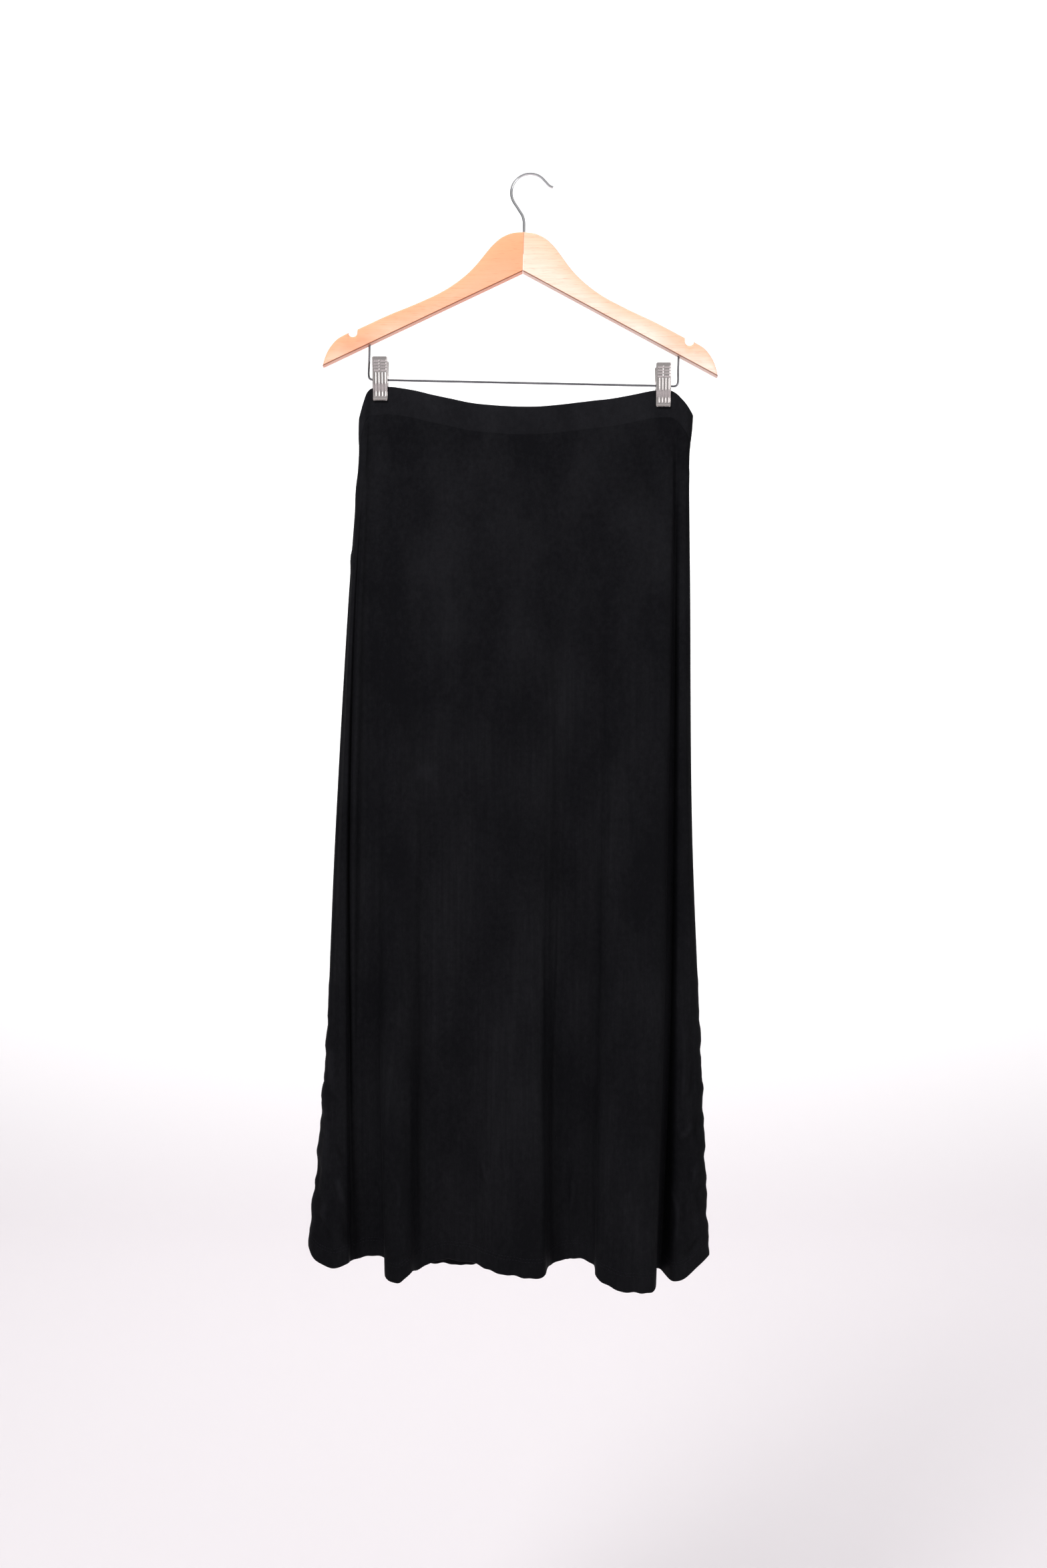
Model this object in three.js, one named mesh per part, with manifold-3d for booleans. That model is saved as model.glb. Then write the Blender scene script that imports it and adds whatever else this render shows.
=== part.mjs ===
// A pull-on maxi skirt of fine jersey, held by the two clips of a wooden hanger.
// Millimetres, +Z up, the front faces -Y. The origin is the inside top of the hook, where it is hung.
import * as THREE from "three";
import { mergeVertices } from "three/addons/utils/BufferGeometryUtils.js";
import Module from "manifold-3d";

const wasm = await Module();
wasm.setup();

// Driving dimensions of the skirt
const CLOTH_WALL = 1.2; // the jersey, thicker than the real 0.7 so that it is a sound wall
const HEM_WALL = 2.2; // cloth and its turn-up
const HEM_DEPTH = 22; // height of the turn-up
const BAND_DEPTH = 30; // height of the elastic casing
const BAND_WALL = 2; // casing with its elastic
const SEAM_GAP = 0.4; // between sewn pieces

// Driving dimensions of the hanger
const APEX = { x: -7.9, z: -65 }; // top of the wood, under the hook
const TILT = THREE.MathUtils.degToRad(1.5); // the right end hangs lower
const WOOD_THICK = 13;
const WOOD_ROUND = 3; // radius of the rounded edges
const HALF_SPAN = 222.5; // centre to tip
const TIP_DROP = 157; // apex to tip
const CENTRE_HEIGHT = 44.4; // wood at the centre joint
const NOTCH = { x: 189.5, z: -117.8, radius: 5.2 };
const HOOK_WIRE = 3.3; // diameter
const HOOK_RADIUS = 21.3; // of the wire's centreline
const BAR_WIRE = 2.5; // diameter
const BAR_LEFT = -170.5; // where the bar's legs stand, from the centre joint
const BAR_RIGHT = 178;
const BAR_DROP_LEFT = 169.8; // apex down to the bar
const BAR_DROP_RIGHT = 168.2;
const FIT = 0.3; // clearance round a wire in its hole

// Driving dimensions of a clip
const CLIP_WIDTH = 17;
const CLIP_SHEET = 0.8;
const CLIP_CENTRES = { left: -169.6, right: 149.1 }; // in the object's own x
const EAR_HOLE = 1.8; // radius

const MATERIALS = {
  jersey: new THREE.MeshStandardMaterial({ color: 0x0d0d10, roughness: 0.85 }),
  band: new THREE.MeshStandardMaterial({ color: 0x0f0f12, roughness: 0.85 }),
  wood: new THREE.MeshStandardMaterial({ color: 0xe5b48a, roughness: 0.45 }),
  chrome: new THREE.MeshStandardMaterial({ color: 0xc8c8cc, roughness: 0.2, metalness: 1 }),
  nickel: new THREE.MeshStandardMaterial({ color: 0xb5b0ad, roughness: 0.35, metalness: 1 }),
};

// Heights where each fold is given between its top edge and its hem
const HIP = -315;
const THIGH = -480;
const KNEE = -743;
const CALF = -1007;

// Folds of the front, from the left edge to the right edge, on the wall's outer face.
// Columns: name, top [x, y, z], hip [x, y], thigh [x, y], knee [x, y], calf [x, y], hem [x, y, z]
const FRONT_FOLDS = [
  ["left edge", [-194, 0, -275], [-194, 0], [-206, 2], [-221, 4], [-233, 4], [-251, 4, -1208]],
  ["left face", [-192, -4.5, -269], [-192.5, -5], [-203.5, -4], [-216, -6], [-225, -9], [-240, -12, -1221]],
  ["left crown", [-188.5, -6.5, -258], [-190, -7], [-201, -8], [-211, -11], [-214.5, -15], [-222, -20, -1225]],
  ["left lip", [-185, -6, -249], [-187.5, -7.5], [-198.5, -8], [-206.5, -9], [-206.5, -12], [-205, -17, -1222]],
  ["left tuck", [-182, -4.2, -244], [-185, -7], [-196.5, -5], [-205, -1], [-205, 2], [-202.5, 6, -1226]],
  ["roll", [-178.5, -2.3, -241], [-183, -5], [-192, -10], [-199, -11], [-200, -5], [-197, 8, -1223]],
  ["roll valley", [-174, -2.3, -240.5], [-179, -3], [-185.5, -6], [-190.5, -1], [-194, 3], [-188, 6, -1220]],
  ["flank", [-168, -2.3, -240], [-172, -2.5], [-175, -8], [-179.5, -5], [-182, -2], [-175.5, 0, -1217]],
  ["fold 2 tuck", [-161.5, -2.3, -239.5], [-164, -3], [-166, -10], [-170, -9], [-170, -9], [-163.5, -10, -1220]],
  ["fold 2 edge", [-154, -3, -240], [-157, -4], [-158, -12], [-161.5, -13], [-165, -20], [-161.5, -28, -1234]],
  ["fold 2 top", [-143.5, -5, -242], [-146.5, -6], [-146.5, -13], [-149.5, -16], [-151, -27], [-147, -40, -1237]],
  ["fold 2 lip", [-130, -6, -244.5], [-133, -8], [-134, -13], [-135.5, -15], [-137, -23], [-135.5, -33, -1231]],
  ["valley 2", [-112.5, -7, -249], [-115.5, -9], [-116, -12], [-117.5, -10], [-121, -9], [-123.5, -10, -1228]],
  ["plain left", [-90, -8, -254], [-92, -10], [-93, -12], [-95, -11], [-98, -9], [-101, -7, -1221]],
  ["plain right", [-67, -9, -259], [-68, -11], [-69, -13], [-69.5, -12], [-73.5, -11], [-72.5, -10, -1221]],
  ["fold 3 rise", [-43, -9, -261.5], [-44, -11], [-44, -14], [-46.5, -15], [-49.5, -20], [-47.5, -27, -1226]],
  ["fold 3 crown", [-17, -9, -263], [-19, -12], [-19, -15], [-20, -18], [-21.5, -28], [-20, -39, -1230]],
  ["fold 3 lip", [8, -9, -263], [8, -12], [9, -14], [8, -16], [6, -26], [7, -38, -1232]],
  ["fold 3 tuck", [21.5, -9, -262], [22.5, -11], [23, -12], [21.5, -12], [17, -14], [18, -18, -1227]],
  ["valley 3", [35, -8, -260.5], [36.5, -11], [38, -11], [33, -6], [27, -3], [26.5, -3, -1224]],
  ["recess", [56, -8, -258], [57.5, -10], [58, -13], [55.5, -11], [51, -9], [50, -7, -1219]],
  ["fold 4 tuck", [75.5, -7, -255.5], [77, -10], [77.5, -14], [76, -12], [70.5, -12], [70, -15, -1223]],
  ["fold 4 rise", [88, -6, -254], [89, -9], [89, -16], [85.5, -18], [78, -24], [72, -34, -1233]],
  ["fold 4 crown", [112.5, -5, -249.5], [112.5, -8], [112, -18], [110, -22], [104, -36], [95, -52, -1241]],
  ["fold 4 face", [137, -2.3, -244], [137.5, -4.5], [135, -18], [131.5, -24], [126, -38], [118, -56, -1244]],
  ["fold 4 edge", [148, -2.3, -243], [158, -7], [156, -16], [150.5, -22], [144, -32], [135, -48, -1243]],
  ["right tuck", [157, -2.3, -243.5], [161, -5], [159, -6], [155, -6], [149, -10], [139, -18, -1231]],
  ["right valley", [162, -3, -246], [164, -3], [162.5, -1], [160, 2], [155.5, 5], [146, 8, -1234]],
  ["right crown", [168, -5.5, -252], [168, -5], [167.5, -6], [166, -6], [164, -8], [159.5, -12, -1243]],
  ["right face", [176, -6, -261], [174.5, -5.5], [174, -5], [175, -6], [180, -8], [179, -11, -1236]],
  ["right edge", [183, 0, -271], [179, 0], [180, 2], [182.5, 4], [193, 4], [201, 4, -1218]],
];

// Waves of the back, from the right edge to the left edge, in the same columns
const BACK_FOLDS = [
  ["back right edge", [180.5, 5, -267], [178, 5.5], [179, 9], [181, 13], [191, 14], [199, 15, -1220]],
  ["back right turn", [173, 6.5, -257], [171, 8], [171, 13], [171, 17], [181, 20], [187, 23, -1225]],
  ["back right", [158, 2.3, -244], [158, 5], [158, 12], [156, 18], [160, 24], [162, 30, -1230]],
  ["back valley 1", [140, 2.3, -243.5], [136, 5], [132, 11], [128, 14], [126, 15], [122, 15, -1226]],
  ["back wave 1", [100, 6, -251], [98, 9], [94, 14], [90, 19], [86, 25], [80, 31, -1226]],
  ["back valley 2", [56, 8, -258], [56, 10], [52, 12], [48, 14], [44, 15], [38, 15, -1224]],
  ["back wave 2", [10, 9, -263], [10, 12], [8, 15], [6, 19], [2, 24], [0, 29, -1230]],
  ["back valley 3", [-40, 9, -261], [-40, 11], [-42, 13], [-44, 14], [-46, 15], [-48, 15, -1230]],
  ["back wave 3", [-90, 8, -254], [-90, 10], [-92, 14], [-94, 19], [-96, 25], [-96, 30, -1232]],
  ["back valley 4", [-130, 5.5, -245], [-130, 8], [-134, 11], [-138, 14], [-142, 15], [-146, 15, -1224]],
  ["back left", [-163, 2.3, -240], [-166, 4], [-172, 11], [-178, 17], [-184, 23], [-190, 28, -1218]],
  ["back left pinch", [-177.5, 2.3, -241], [-177, 6], [-184, 13], [-194, 18], [-202, 22], [-213, 27, -1214]],
  ["back left turn", [-185, 5.8, -249], [-186, 8], [-197, 13], [-210, 17], [-220, 19], [-235, 22, -1211]],
  ["back left edge", [-191.5, 5, -267], [-192, 5.5], [-203, 9], [-218, 13], [-229, 14], [-247, 15, -1208]],
];

const FOLDS = [...FRONT_FOLDS, ...BACK_FOLDS];
const LEVEL_SPANS = 6; // top, grip, hip, thigh, knee, calf, hem
const GRIP_DEPTH = 32; // the clips hold the top this far down in one upright plane
const HEM_SPAN = 215; // mean height of the last span, calf to hem
const FRONT_STEP = 1 / 2; // of a fold, between the wall's columns
const BACK_STEP = 1 / 3; // the back's waves are wider
const PANEL_ROWS = 13;
const LEFT_SEAM = -0.5; // the side seams lie half a fold behind the edges
const RIGHT_SEAM = FRONT_FOLDS.length - 0.5;

// A fold's line from the top edge to the hem.
function foldLine([, top, hip, thigh, knee, calf, hem]) {
  const gripX = top[0] + ((hip[0] - top[0]) * GRIP_DEPTH) / (top[2] - HIP);
  const grip = [gripX, top[1], top[2] - GRIP_DEPTH];
  const points = [top, grip, [...hip, HIP], [...thigh, THIGH], [...knee, KNEE], [...calf, CALF], hem];
  return new THREE.CatmullRomCurve3(points.map((p) => new THREE.Vector3(...p)), false, "centripetal");
}
const FOLD_LINES = FOLDS.map(foldLine);

// The outer face at a fold number, counted round the skirt, and a share of the way down.
function onCloth(fold, down) {
  const ring = new THREE.CatmullRomCurve3(FOLD_LINES.map((line) => line.getPoint(down)), true, "centripetal");
  return ring.getPoint(THREE.MathUtils.euclideanModulo(fold / FOLDS.length, 1));
}

// The level direction out of the cloth, and how many millimetres one fold number covers there.
function clothSide(fold, down) {
  const step = 0.05;
  const along = onCloth(fold + step, down).sub(onCloth(fold - step, down)).setZ(0);
  const length = along.length();
  return { out: new THREE.Vector3(along.y / length, -along.x / length, 0), reach: length / (2 * step) };
}

// The share of the way down that lies a given distance under the top edge, within the grip.
function underTop(distance) {
  return distance / GRIP_DEPTH / LEVEL_SPANS;
}

// Where a panel starts: the gap to the casing is square to the casing's slanting lower edge.
function panelStart(fold) {
  const step = 0.25;
  const along = onCloth(fold + step, 0).sub(onCloth(fold - step, 0));
  const slope = along.z / Math.hypot(along.x, along.y);
  return underTop(BAND_DEPTH + SEAM_GAP * Math.hypot(1, slope));
}

// A closed wall from rows of stations. A station holds its outer point and its inner point.
// A ring's columns close on themselves, and a panel has a rim at each side.
function wall(rows, isRing) {
  const width = rows[0].length;
  const positions = [];
  rows.forEach((row) => row.forEach(({ outer, inner }) => positions.push(...outer, ...inner)));
  const outerAt = (row, column) => 2 * (row * width + (column % width));
  const innerAt = (row, column) => outerAt(row, column) + 1;
  const index = [];
  const quad = (a, b, c, d) => index.push(a, b, c, a, c, d);
  const last = rows.length - 1;
  const spans = isRing ? width : width - 1;
  for (let column = 0; column < spans; column++) {
    for (let row = 0; row < last; row++) {
      const [below, next] = [row + 1, column + 1];
      quad(outerAt(row, column), outerAt(below, column), outerAt(below, next), outerAt(row, next));
      quad(innerAt(row, column), innerAt(row, next), innerAt(below, next), innerAt(below, column));
    }
    quad(outerAt(0, column), outerAt(0, column + 1), innerAt(0, column + 1), innerAt(0, column));
    quad(outerAt(last, column), innerAt(last, column), innerAt(last, column + 1), outerAt(last, column + 1));
  }
  for (let row = 0; row < last && !isRing; row++) {
    const end = width - 1;
    quad(outerAt(row, 0), innerAt(row, 0), innerAt(row + 1, 0), outerAt(row + 1, 0));
    quad(outerAt(row, end), outerAt(row + 1, end), innerAt(row + 1, end), innerAt(row, end));
  }
  const geometry = new THREE.BufferGeometry();
  geometry.setAttribute("position", new THREE.Float32BufferAttribute(positions, 3));
  geometry.setIndex(index);
  geometry.computeVertexNormals();
  return geometry;
}

function station(fold, down, thickness) {
  const outer = onCloth(fold, down);
  const inner = outer.clone().addScaledVector(clothSide(fold, down).out, -thickness);
  return { outer: outer.toArray(), inner: inner.toArray() };
}

// Fold numbers of a wall's columns.
function columnsBetween(first, last, step) {
  const count = Math.round((last - first) / step);
  return Array.from({ length: count + 1 }, (_, column) => first + column * step);
}

// The elastic casing: a ring under the top edge.
function waistband() {
  const front = columnsBetween(LEFT_SEAM, RIGHT_SEAM, FRONT_STEP).slice(1);
  const back = columnsBetween(RIGHT_SEAM, FOLDS.length + LEFT_SEAM, BACK_STEP).slice(1);
  const rowDepths = [0, BAND_DEPTH / 3, (2 * BAND_DEPTH) / 3, BAND_DEPTH];
  const rowAt = (depth) => [...front, ...back].map((fold) => station(fold, underTop(depth), BAND_WALL));
  return wall(rowDepths.map(rowAt), true);
}

// One panel between two side seams, from the casing to the hem, with its turn-up inside.
function panel(first, last, step) {
  const folds = columnsBetween(first, last, step);
  const turnUp = 1 - HEM_DEPTH / HEM_SPAN / LEVEL_SPANS;
  const ledge = 0.002; // share of the height over which the wall steps out to the turn-up
  const rows = [];
  for (let row = 0; row <= PANEL_ROWS; row++) {
    const share = row / PANEL_ROWS;
    rows.push(panelRow(folds, (start) => (1 - share) * start + share * (turnUp - ledge), CLOTH_WALL));
  }
  rows.push(panelRow(folds, () => turnUp, HEM_WALL), panelRow(folds, () => 1, HEM_WALL));
  return wall(rows, false);
}

// A row of a panel. Its first and last columns stand half a seam gap away from the seam.
function panelRow(folds, downFrom, thickness) {
  const last = folds.length - 1;
  return folds.map((fold, column) => {
    const down = downFrom(panelStart(fold));
    const halfGap = SEAM_GAP / 2 / clothSide(fold, down).reach;
    const shift = halfGap * ((column === 0) - (column === last));
    return station(fold + shift, down, thickness);
  });
}

// A three.js geometry as a solid that can be cut and joined, and back.
function solid(geometry) {
  const plain = geometry.clone();
  plain.deleteAttribute("normal");
  plain.deleteAttribute("uv");
  const merged = mergeVertices(plain, 1e-3);
  const vertProperties = new Float32Array(merged.getAttribute("position").array);
  const triVerts = new Uint32Array(merged.getIndex().array);
  return new wasm.Manifold(new wasm.Mesh({ numProp: 3, vertProperties, triVerts }));
}

function geometryOf(body) {
  const { vertProperties, triVerts } = body.getMesh();
  const geometry = new THREE.BufferGeometry();
  geometry.setAttribute("position", new THREE.BufferAttribute(vertProperties, 3));
  geometry.setIndex(new THREE.BufferAttribute(triVerts, 1));
  geometry.computeVertexNormals();
  return geometry;
}

// A round wire bent in the upright plane, through points with a few steps between each two.
function wire(points, diameter, sides) {
  const stepsEach = 3;
  const upright = points.map(([x, z]) => new THREE.Vector3(x, 0, z));
  const curve = new THREE.CatmullRomCurve3(upright, false, "centripetal");
  const line = curve.getPoints((points.length - 1) * stepsEach);
  const positions = [];
  line.forEach((point, i) => {
    const along = line[Math.min(i + 1, line.length - 1)].clone().sub(line[Math.max(i - 1, 0)]).normalize();
    for (let side = 0; side < sides; side++) {
      const angle = (2 * Math.PI * side) / sides;
      const [aside, back] = [(Math.cos(angle) * diameter) / 2, (Math.sin(angle) * diameter) / 2];
      positions.push(point.x - along.z * aside, back, point.z + along.x * aside);
    }
  });
  const index = [];
  const lastRing = (line.length - 1) * sides;
  for (let side = 0; side < sides; side++) {
    const next = (side + 1) % sides;
    for (let ring = 0; ring < lastRing; ring += sides) {
      index.push(ring + side, ring + sides + side, ring + sides + next);
      index.push(ring + side, ring + sides + next, ring + next);
    }
    if (side > 0 && next > 0) index.push(0, side, next, lastRing, lastRing + next, lastRing + side);
  }
  const geometry = new THREE.BufferGeometry();
  geometry.setAttribute("position", new THREE.Float32BufferAttribute(positions, 3));
  geometry.setIndex(index);
  geometry.computeVertexNormals();
  return geometry;
}

function uprightCylinder(x, bottom, top, radius) {
  const geometry = new THREE.CylinderGeometry(radius, radius, top - bottom, 16);
  geometry.rotateX(Math.PI / 2);
  geometry.translate(x, 0, (bottom + top) / 2);
  return geometry;
}

// Upper edge of one wooden arm, from the centre joint to the tip, with the strap notch
const ARM_TOP = [[12, -1.2], [24, -6.2], [34, -14.8], [43, -25.8], [52, -37.5], [62, -48.3], [76, -60],
  [92, -70.5], [120, -84.3], [150, -97.5], [NOTCH.x - NOTCH.radius, -114.5]];
const ARM_SHOULDER = [[203, -123.3], [207.5, -126.6], [211.8, -131.4], [216.5, -138.5], [220, -147],
  [HALF_SPAN, -TIP_DROP]];

// Points of one arm's outline, given on the right and mirrored for the left.
function armPoints() {
  const curveOf = (points) => new THREE.SplineCurve(points.map((p) => new THREE.Vector2(...p)));
  const top = curveOf([[0, 0], ...ARM_TOP]).getPoints(26);
  const notchStart = THREE.MathUtils.degToRad(150);
  const notchEnd = THREE.MathUtils.degToRad(350);
  const notch = new THREE.EllipseCurve(NOTCH.x, NOTCH.z, NOTCH.radius, NOTCH.radius, notchStart, notchEnd);
  const shoulder = ARM_SHOULDER.map((p) => new THREE.Vector2(...p));
  return [...top, ...notch.getPoints(7).slice(1), ...shoulder];
}

function woodArms() {
  const right = armPoints();
  const left = right.slice(1).map((p) => new THREE.Vector2(-p.x, p.y)).reverse();
  const outline = new THREE.Shape([...left, ...right, new THREE.Vector2(0, -CENTRE_HEIGHT)]);
  const flat = { depth: WOOD_THICK - 2 * WOOD_ROUND, bevelThickness: WOOD_ROUND, bevelSize: WOOD_ROUND,
    bevelOffset: -WOOD_ROUND, bevelSegments: 3, steps: 1 };
  const bothArms = new THREE.ExtrudeGeometry(outline, flat);
  bothArms.rotateX(Math.PI / 2);
  bothArms.translate(0, WOOD_THICK / 2 - WOOD_ROUND, 0);
  const hookHole = solid(uprightCylinder(0, -26, 5, HOOK_WIRE / 2 + FIT));
  const legHole = (x) => solid(uprightCylinder(x, -TIP_DROP, armBottom(x) + 9, BAR_WIRE / 2 + FIT));
  const drilled = solid(bothArms).subtract(hookHole).subtract(legHole(BAR_LEFT)).subtract(legHole(BAR_RIGHT));
  const half = (side) => {
    const box = new THREE.BoxGeometry(HALF_SPAN + 20, WOOD_THICK * 2, TIP_DROP * 3);
    box.translate(side * (HALF_SPAN / 2 + 10 + FIT / 2), 0, 0);
    return geometryOf(drilled.intersect(solid(box)));
  };
  return { left: half(-1), right: half(1) };
}

// Height of the wood's straight lower edge under the apex.
function armBottom(x) {
  return -CENTRE_HEIGHT - ((TIP_DROP - CENTRE_HEIGHT) * Math.abs(x)) / HALF_SPAN;
}

// The hook: a shank in the wood, a round crook and a short tip bent outward.
function hook() {
  const inWood = (depth) => [APEX.x - depth * Math.sin(TILT), APEX.z - depth * Math.cos(TILT)];
  const shank = [inWood(23), inWood(8), inWood(-6), [-7.9, -52], [-9.2, -46], [-14, -38]];
  const centre = { x: -0.7, z: 1.95 - HOOK_RADIUS };
  const tip = [[21.6, -12], [25, -13.4]];
  const crook = [];
  for (let degrees = 205; degrees >= 35; degrees -= 17) {
    const angle = THREE.MathUtils.degToRad(degrees);
    crook.push([centre.x + HOOK_RADIUS * Math.cos(angle), centre.z + HOOK_RADIUS * Math.sin(angle)]);
  }
  return wire([...shank, ...crook, ...tip], HOOK_WIRE, 10);
}

// The lower bar, in the hanger's own frame: two legs that go up into the wood, and the bar between them.
function lowerBar() {
  const bend = 4;
  const corner = 0.3 * bend; // the bend's middle point lies this far in from the corner
  return wire([
    [BAR_LEFT, armBottom(BAR_LEFT) + 8], [BAR_LEFT, -150], [BAR_LEFT, bend - BAR_DROP_LEFT],
    [BAR_LEFT + corner, corner - BAR_DROP_LEFT], [BAR_LEFT + bend, -BAR_DROP_LEFT],
    [BAR_LEFT + 3 * bend, -BAR_DROP_LEFT], [BAR_RIGHT - 3 * bend, -BAR_DROP_RIGHT],
    [BAR_RIGHT - bend, -BAR_DROP_RIGHT], [BAR_RIGHT - corner, corner - BAR_DROP_RIGHT],
    [BAR_RIGHT, bend - BAR_DROP_RIGHT], [BAR_RIGHT, -150], [BAR_RIGHT, armBottom(BAR_RIGHT) + 8],
  ], BAR_WIRE, 8);
}

// Where the bar's centre passes, at one of the object's own x.
function barHeight(x) {
  const fromCentre = (x - APEX.x + BAR_DROP_LEFT * Math.sin(TILT)) / Math.cos(TILT);
  const share = (fromCentre - BAR_LEFT) / (BAR_RIGHT - BAR_LEFT);
  const drop = BAR_DROP_LEFT + (BAR_DROP_RIGHT - BAR_DROP_LEFT) * share;
  return APEX.z - fromCentre * Math.sin(TILT) - drop * Math.cos(TILT);
}

// Side view of a clip's plate from the handle down to the jaw, [y, z] from the bar, on its outer face
const PLATE_LINE = [[-12.5, 23.7], [-11.5, 19], [-8.4, 6], [-7.6, 0], [-7, -5],
  [-3.6, -15], [-3.5, -21], [-5.4, -24]];

// A plate with the two ears that the bar passes through. side is -1 for the front plate and 1 for the rear.
function clipPlate(side, earFromMiddle) {
  const outer = PLATE_LINE.map(([y, z]) => new THREE.Vector2(-side * y, z));
  const inner = PLATE_LINE.map(([y, z]) => new THREE.Vector2(-side * (y + CLIP_SHEET), z)).reverse();
  const sheet = across(new THREE.Shape([...outer, ...inner]), -CLIP_WIDTH / 2, CLIP_WIDTH);
  const earShape = new THREE.Shape();
  const root = side * 7.2;
  earShape.moveTo(root, 5);
  earShape.lineTo(0, 3.6);
  earShape.absarc(0, 0, 3.6, Math.PI / 2, -Math.PI / 2, side > 0 ? false : true);
  earShape.lineTo(root, -4.6);
  const hole = new THREE.Path();
  hole.absarc(0, 0, EAR_HOLE, 0, 2 * Math.PI, false);
  earShape.holes.push(hole);
  const earStarts = [-earFromMiddle, earFromMiddle - CLIP_SHEET];
  const ears = earStarts.map((x) => solid(across(earShape, x, CLIP_SHEET, 5)));
  return geometryOf(solid(sheet).add(ears[0]).add(ears[1]));
}

// Extrudes a side view, drawn as y to the right and z up, across x.
function across(shape, fromX, width, curveSegments = 6) {
  const geometry = new THREE.ExtrudeGeometry(shape, { depth: width, bevelEnabled: false, curveSegments });
  geometry.applyMatrix4(new THREE.Matrix4().set(0, 0, 1, fromX, 1, 0, 0, 0, 0, 1, 0, 0, 0, 0, 0, 1));
  return geometry;
}

// The coiled spring round the bar, as one plain sleeve.
function clipSpring() {
  const inside = BAR_WIRE / 2 + 2 * FIT;
  const outside = 3.4;
  const half = 5.6;
  const profile = [[inside, -half], [outside, -half], [outside, half], [inside, half], [inside, -half]];
  const geometry = new THREE.LatheGeometry(profile.map((p) => new THREE.Vector2(...p)), 14);
  geometry.rotateZ(Math.PI / 2);
  return geometry;
}

function named(name, geometry, material) {
  const mesh = new THREE.Mesh(geometry, material);
  mesh.name = name;
  return mesh;
}

function clip(side) {
  const group = new THREE.Group();
  const x = CLIP_CENTRES[side];
  group.position.set(x, 0, barHeight(x));
  group.add(named(`clip_${side}_front_plate`, clipPlate(-1, CLIP_WIDTH / 2), MATERIALS.nickel));
  const rearEar = CLIP_WIDTH / 2 - CLIP_SHEET - FIT; // inside the front plate's ears
  group.add(named(`clip_${side}_rear_plate`, clipPlate(1, rearEar), MATERIALS.nickel));
  group.add(named(`clip_${side}_spring`, clipSpring(), MATERIALS.chrome));
  return group;
}

function hanger() {
  const group = new THREE.Group();
  const tilted = new THREE.Group();
  tilted.position.set(APEX.x, 0, APEX.z);
  tilted.rotation.y = TILT;
  const arms = woodArms();
  tilted.add(named("hanger_arm_left", arms.left, MATERIALS.wood));
  tilted.add(named("hanger_arm_right", arms.right, MATERIALS.wood));
  tilted.add(named("hanger_bar", lowerBar(), MATERIALS.chrome));
  group.add(tilted, named("hanger_hook", hook(), MATERIALS.chrome), clip("left"), clip("right"));
  return group;
}

function skirt() {
  const group = new THREE.Group();
  group.add(named("waistband", waistband(), MATERIALS.band));
  group.add(named("front_panel", panel(LEFT_SEAM, RIGHT_SEAM, FRONT_STEP), MATERIALS.jersey));
  group.add(named("back_panel", panel(RIGHT_SEAM, FOLDS.length + LEFT_SEAM, BACK_STEP), MATERIALS.jersey));
  return group;
}

const model = new THREE.Group();
model.add(skirt(), hanger());
export default model;
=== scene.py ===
"""Looks of a black jersey maxi skirt that hangs from the two clips of a wooden hanger.

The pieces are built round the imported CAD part. Tables and sizes are in millimetres in the part's
frame: +Z up, the front faces -Y, and the origin is the inside top of the hook.
"""
import math

import bpy
import numpy as np
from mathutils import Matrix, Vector


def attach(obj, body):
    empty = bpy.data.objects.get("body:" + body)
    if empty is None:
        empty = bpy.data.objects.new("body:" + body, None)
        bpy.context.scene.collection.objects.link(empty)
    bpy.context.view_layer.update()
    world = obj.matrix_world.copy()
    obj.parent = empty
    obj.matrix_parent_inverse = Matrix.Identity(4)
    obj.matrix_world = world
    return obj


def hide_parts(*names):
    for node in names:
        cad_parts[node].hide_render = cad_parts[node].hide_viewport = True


MM = 0.001

# Camera, in metres
CAMERA_PLACE = (-0.0083, -1.965, -0.6863)
CAMERA_LENS = 40
CAMERA_SENSOR = 36

# The skirt, as in the part
HIP, THIGH, KNEE, CALF = -315, -480, -743, -1007  # heights where each fold is given
BAND_DEPTH = 30
BAND_WALL = 1.85
CLOTH_WALL = 1.0
HEM_WALL = 1.9
HEM_DEPTH = 22
SEAM_GAP = 0.4
GRIP_DEPTH = 32
LEVEL_SPANS = 6

# The hanger, as in the part
APEX = (-7.9, -65)
TILT = math.radians(1.5)
WOOD_THICK = 13
WOOD_ROUND = 3
WOOD_LOWER_ROUND = 0.9
HALF_SPAN = 222.5
TIP_DROP = 157
CENTRE_HEIGHT = 44.4
NOTCH_X, NOTCH_Z, NOTCH_RADIUS = 189.5, -117.8, 5.2
WIRE_EDGE = 0.2  # how far a cut end is broken, as a share of the wire's radius
HOOK_WIRE = 3.3
HOOK_RADIUS = 21.3
BAR_WIRE = 2.5
BAR_LEFT, BAR_RIGHT = -170.5, 178
BAR_DROP_LEFT, BAR_DROP_RIGHT = 169.8, 168.2
FIT = 0.3
CLIP_WIDTH = 17
CLIP_SHEET = 0.8
CLIP_CENTRES = {"left": -169.6, "right": 149.1}
EAR_HOLE = 1.8

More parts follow.
